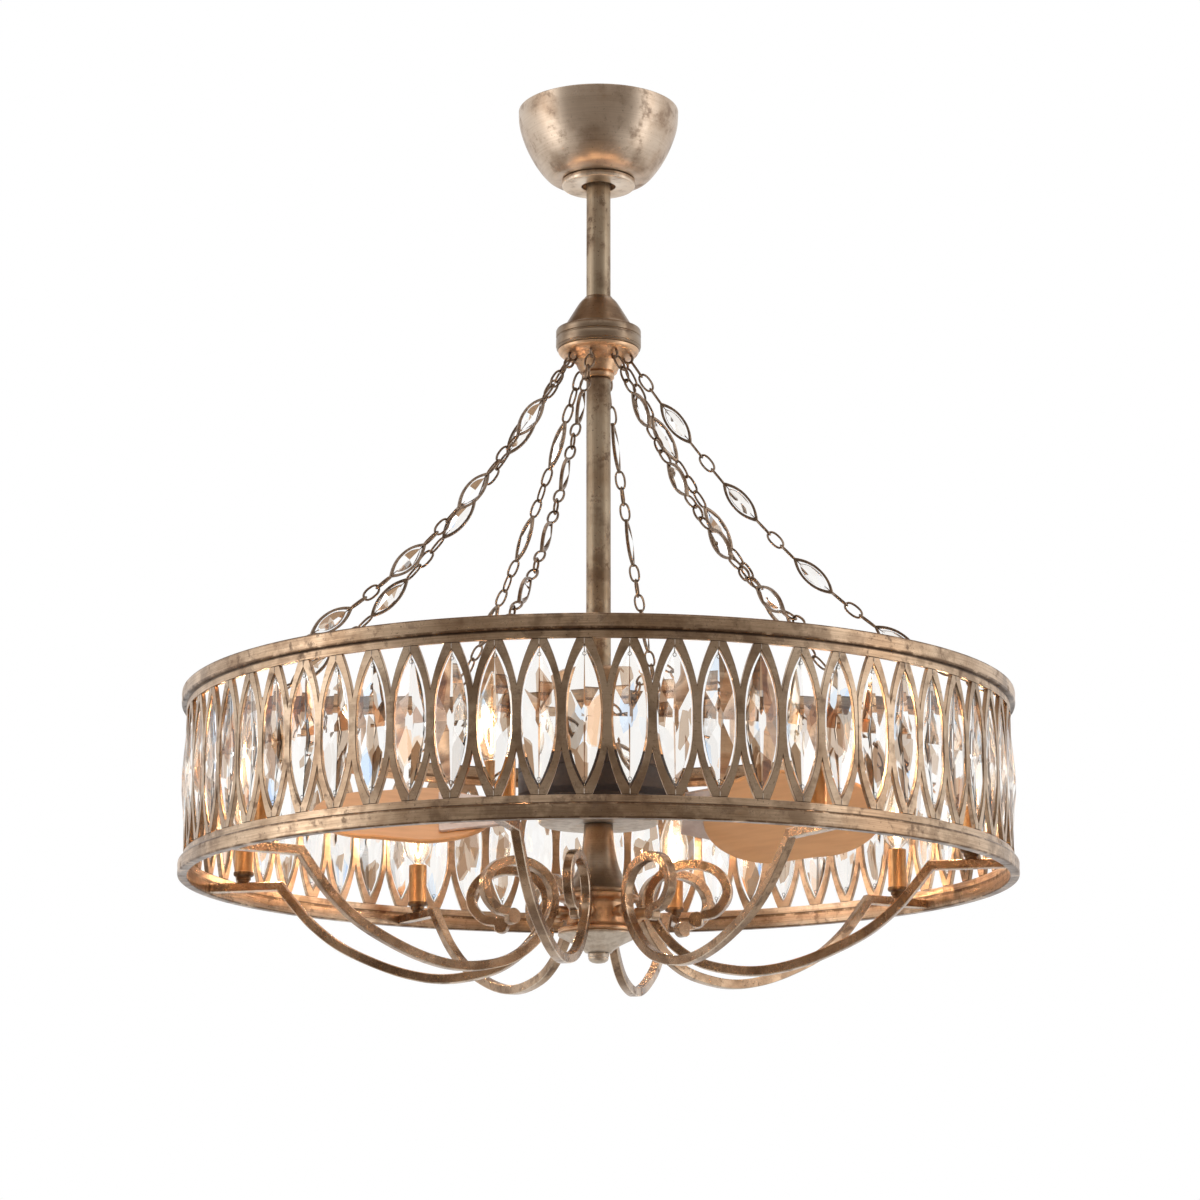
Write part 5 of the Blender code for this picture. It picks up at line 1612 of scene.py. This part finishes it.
@dataclass
class MiddleDrop(Assembly):
    """Bell, barrel hub with its studs, bowl and knob below the fan."""

    bore: float = 0.0098
    bell_top: float = -0.8056
    bell_height: float = 0.070
    bell_top_radius: float = 0.0155
    ring_radius: float = 0.0385
    ring_height: float = 0.006
    hub_height: float = 0.040
    hub_radius: float = 0.043
    waist_radius: float = 0.034
    bowl_height: float = 0.020
    knob_radius: float = 0.0112
    knob_height: float = 0.011
    stud_radius: float = 0.0065
    stud_end: float = 0.0527
    bell: tuple = ((0.0, 0.0), (0.02, 0.12), (0.06, 0.28), (0.14, 0.45), (0.26, 0.62), (0.42, 0.76),
                   (0.62, 0.88), (0.86, 0.975))
    bowl: tuple = ((0.985, 0.0), (1.0, 0.04), (0.99, 0.12), (0.90, 0.24), (0.75, 0.40), (0.58, 0.58),
                   (0.45, 0.76), (0.36, 0.92), (0.33, 1.0))
    knob: tuple = ((0.0, 0.0), (0.94, 0.0), (1.0, 0.06), (1.0, 0.34), (0.93, 0.44), (0.96, 0.54),
                   (0.86, 0.76), (0.62, 0.92), (0.30, 0.985), (0.0, 1.0))

    def build(self) -> None:
        """Model and dress the middle."""
        ring_top = self.bell_top - self.bell_height
        bottom = ring_top - self.ring_height
        flare = self.ring_radius - self.bell_top_radius
        outer = curved([(self.bell_top_radius + flare * wide, self.bell_top - self.bell_height * down)
                        for wide, down in self.bell], 4)
        outer += near(self.ring_radius, ring_top, (-1.2, 0), (0, -1.8))
        outer += near(self.ring_radius, bottom, (0, 1.8), (-1.2, 0))
        profile = bored(outer, self.bore, self.bell_top)
        self.turned("bell_trumpet", profile, self.finishes.hub, "center_bell")
        self.build_hub(bottom - GAP)
        self.build_bowl(bottom - 2 * GAP - self.hub_height)

    def build_hub(self, top: float) -> None:
        """Model the barrel with a stud for each arm.

        Args:
            top: the height of its upper face.
        """
        bottom = top - self.hub_height
        wide, waist = self.hub_radius, self.waist_radius
        outer = near(wide, top, (-1.2, 0), (0, -1.4), (0, -4.2), (-1.6, -5.6))
        outer += near(waist, top, (1.6, -7), (0, -9.5)) + near(waist, bottom, (0, 9.5), (1.6, 7))
        outer += near(wide, bottom, (-1.6, 5.6), (0, 4.2), (0, 1.4), (-1.2, 0))
        self.turned("arm_barrel", bored(outer, self.bore, top), self.finishes.orange_leaf, "arm_hub")
        root = waist * 0.8
        size, reach = self.stud_radius, self.stud_end - root
        sides = [(0.0, 0.0), (size * 0.7, 0.0), (size * 0.7, reach * 0.45), (size, reach * 0.52),
                 (size, reach - 0.0018), (size * 0.8, reach), (0.0, reach)]
        stud = turn_profile("stud", sides, 24, EDGE)
        settle_place(stud, shift(root, 0.0, (top + bottom) / 2) @ about('Y', QUARTER_TURN))
        finish_piece(copy_round(stud, "hub_studs"), self.finishes.orange_leaf, Slot.LEAF)

    def build_bowl(self, top: float) -> None:
        """Model the pale bowl and the knob that close the bottom.

        Args:
            top: the height of the bowl's rim.
        """
        outer = curved(shares(self.bowl, self.hub_radius, top, self.bowl_height), 3)
        profile = bored(outer, self.bore, top)
        self.turned("end_bowl", profile, self.finishes.pale, "finial_bowl", slot=Slot.PALE)
        knob = shares(self.knob, self.knob_radius, top - self.bowl_height - GAP, self.knob_height)
        self.turned("end_knob", knob, self.finishes.pale, "finial", 48, 0.0002, slot=Slot.PALE)


@dataclass
class Studio:
    """Camera, floor, white surround and soft lamps."""

    distance: float = 3.571
    azimuth: float = math.radians(13)
    camera_height: float = -1.359
    look_up: float = math.radians(12.62)
    lens: float = 101.34
    sensor: float = 36.0
    shift: float = 1.5 / 1200
    aim: Colour = (0.0, 0.0, -0.6)
    soft_light: float = 0.75
    floor_height: float = -6.0
    floor_size: float = 34.0
    floor_fade: Pair = (5.0, 16.0)
    floor_colour: Colour = (0.86, 0.855, 0.845)
    front_radius: float = 4.4
    front_span: Pair = (-2.6, 2.0)
    front_reach: float = math.radians(58)
    front_sides: int = 72
    front_colour: Colour = (0.37, 0.33, 0.295)
    lid_height: float = 2.0
    lid_sides: Pair = (5.0, 5.0)
    lid_colour: Colour = (0.42, 0.27, 0.16)
    sheet_height: float = -2.58
    sheet_ahead: float = 2.5
    sheet_sides: Pair = (3.6, 4.4)
    sheet_colour: Colour = (0.21, 0.155, 0.11)
    soft_lamps: tuple = (("left_soft", (-3.2, -1.5, -0.3), (1.4, 4.0), 31.0, (1.0, 0.975, 0.95)),
                         ("right_soft", (3.4, -0.1, -0.4), (1.2, 4.0), 22.0, (1.0, 0.975, 0.95)),
                         ("high_soft", (0.0, 0.6, 1.8), (2.0, 2.0), 14.0, (1.0, 0.985, 0.96)))
    bulb_place: Pair = (0.397, -0.768)
    bulb_power: float = 5.4
    bulb_colour: Colour = (1.0, 0.61, 0.33)
    bulb_size: float = 0.02

    def build(self) -> None:
        """Set the camera, the surround and the lamps."""
        self.ahead = Vector((math.sin(self.azimuth), -math.cos(self.azimuth), 0.0))
        self.build_camera()
        self.build_world()
        self.build_stage()
        self.build_lamps()
        bpy.context.scene.view_settings.view_transform = 'Standard'

    def build_camera(self) -> None:
        """The camera of the photograph."""
        camera = bpy.data.cameras.new("photo_camera")
        camera.lens = self.lens
        camera.sensor_width = self.sensor
        camera.sensor_fit = 'HORIZONTAL'
        camera.shift_x = self.shift
        eye = bpy.data.objects.new("photo_camera", camera)
        bpy.context.scene.collection.objects.link(eye)
        across, away = math.sin(self.azimuth), math.cos(self.azimuth)
        eye.location = (self.distance * across, -self.distance * away, self.camera_height)
        level = math.cos(self.look_up)
        heading = Vector((-across * level, away * level, math.sin(self.look_up)))
        eye.rotation_euler = heading.to_track_quat('-Z', 'Y').to_euler()
        bpy.context.scene.camera = eye

    def build_world(self) -> None:
        """A white background that the object meets only as a soft light."""
        world = bpy.data.worlds.new("surround")
        bpy.context.scene.world = world
        world.use_nodes = True
        tree = world.node_tree
        tree.nodes.clear()

        def add(kind: str, *inputs: object) -> bpy.types.Node:
            """Add a node, with a value or an output socket for each of its first inputs."""
            node = tree.nodes.new(kind)
            for socket, value in zip(node.inputs, inputs):
                if isinstance(value, bpy.types.NodeSocket):
                    tree.links.new(value, socket)
                else:
                    socket.default_value = value
            return node

        path = add("ShaderNodeLightPath")
        seen = add("ShaderNodeMath", path.outputs["Is Camera Ray"], path.outputs["Is Transmission Ray"])
        shown = add("ShaderNodeMath", seen.outputs[0], path.outputs["Is Glossy Ray"])
        for node in (seen, shown):
            node.operation = 'MAXIMUM'
        light = add("ShaderNodeBackground", (1.0, 0.985, 0.965, 1.0), self.soft_light)
        white = add("ShaderNodeBackground", (1.0, 1.0, 1.0, 1.0), 1.0)
        mix = add("ShaderNodeMixShader", shown.outputs[0], light.outputs[0], white.outputs[0])
        add("ShaderNodeOutputWorld", mix.outputs[0])

    def build_stage(self) -> None:
        """A pale floor far below, and cards that give the metal its dark middle."""
        clear_selection()
        bpy.ops.mesh.primitive_plane_add(size=self.floor_size, location=(0.0, 0.0, self.floor_height))
        floor = bpy.context.object
        floor.name = "floor"
        paint = Paint("pale_floor")
        length = paint.node("ShaderNodeVectorMath", {"operation": "LENGTH"}, {0: paint.place})
        away = Sock(paint, length.outputs["Value"])
        paint.set(Base_Color=self.floor_colour, Roughness=0.8, Alpha=1.0 - away.over(*self.floor_fade))
        floor.data.materials.append(paint.material)
        self.front_card("front_card")
        self.level_card("lid_card", self.lid_colour, Vector((0.0, 0.0, self.lid_height)), self.lid_sides)
        place = self.ahead * self.sheet_ahead + Vector((0.0, 0.0, self.sheet_height))
        self.level_card("floor_card", self.sheet_colour, place, self.sheet_sides)

    def hide_card(self, card: Piece, name: str, colour: Colour) -> None:
        """Dress a card that only reflections and glass meet.

        Args:
            card: the object.
            name: its name.
            colour: its colour.
        """
        card.name = name
        card.visible_camera = False
        card.visible_diffuse = False
        card.visible_shadow = False
        paint = Paint(name)
        paint.set(Base_Color=colour, Roughness=0.9)
        card.data.materials.append(paint.material)

    def front_card(self, name: str) -> None:
        """A curved card round the camera's side."""
        low, high = self.front_span
        clear_selection()
        bpy.ops.mesh.primitive_cylinder_add(vertices=self.front_sides, radius=self.front_radius,
                                            depth=high - low, end_fill_type='NOTHING',
                                            location=(0.0, 0.0, (low + high) / 2))
        card = bpy.context.object
        bpy.ops.object.mode_set(mode='EDIT')
        bpy.ops.mesh.select_all(action='SELECT')
        edge = self.ahead * self.front_radius * math.cos(self.front_reach)
        bpy.ops.mesh.bisect(plane_co=edge, plane_no=self.ahead, clear_inner=True)
        bpy.ops.object.mode_set(mode='OBJECT')
        self.hide_card(card, name, self.front_colour)

    def level_card(self, name: str, colour: Colour, place: Vector, sides: Pair) -> None:
        """A level card over or under the fan.

        Args:
            name: its name.
            colour: its colour.
            place: where its middle is.
            sides: how wide it is, and how deep as the camera sees it.
        """
        clear_selection()
        bpy.ops.mesh.primitive_plane_add(size=1.0)
        card = bpy.context.object
        turn = about('Z', self.azimuth)
        settle_place(card, Matrix.Translation(place) @ turn @ Matrix.Diagonal((*sides, 1.0, 1.0)))
        self.hide_card(card, name, colour)

    def build_lamps(self) -> None:
        """Two soft lamps beside the camera, one above, and the warm light of the bulbs."""
        for row in self.soft_lamps:
            self.area_lamp(*row)
        radius, height = self.bulb_place
        for index in range(ARMS):
            angle = math.tau * index / ARMS
            light = bpy.data.lights.new(f"bulb_light_{index + 1}", 'POINT')
            light.shadow_soft_size = self.bulb_size
            place = (radius * math.sin(angle), -radius * math.cos(angle), height)
            lamp = self.lamp(light, place, self.bulb_power, self.bulb_colour)
            lamp.visible_camera = False
            lamp.visible_transmission = False

    def area_lamp(self, name: str, place: Colour, size: Pair, energy: float, colour: Colour) -> None:
        """A flat lamp that looks at the drum.

        Args:
            name: its name.
            place: where it hangs.
            size: its width and height.
            energy: its power in watts.
            colour: its colour.
        """
        light = bpy.data.lights.new(name, 'AREA')
        light.shape = 'RECTANGLE'
        light.size, light.size_y = size
        lamp = self.lamp(light, place, energy, colour)
        lamp.rotation_euler = (Vector(self.aim) - Vector(place)).to_track_quat('-Z', 'Y').to_euler()

    def lamp(self, light: bpy.types.Light, place: Colour, energy: float, colour: Colour) -> Piece:
        """Hang a light.

        Args:
            light: the light.
            place: where it hangs.
            energy: its power in watts.
            colour: its colour.

        Returns:
            The lamp.
        """
        light.energy = energy
        light.color = colour
        lamp = bpy.data.objects.new(light.name, light)
        lamp.location = place
        bpy.context.scene.collection.objects.link(lamp)
        return lamp


def main() -> None:
    """Build every sub-assembly, then the studio."""
    logging.basicConfig(level=logging.INFO, format="%(message)s")
    finishes = Finishes()
    for assembly in (CeilingEnd(finishes), RodAndHub(finishes), ChainCrown(finishes), Drum(finishes),
                     CandleArms(finishes), FanMotor(finishes), MiddleDrop(finishes), Studio()):
        assembly.build()
        LOG.info("%s is done", type(assembly).__name__)
    clear_selection()


if __name__ == "__main__":
    main()
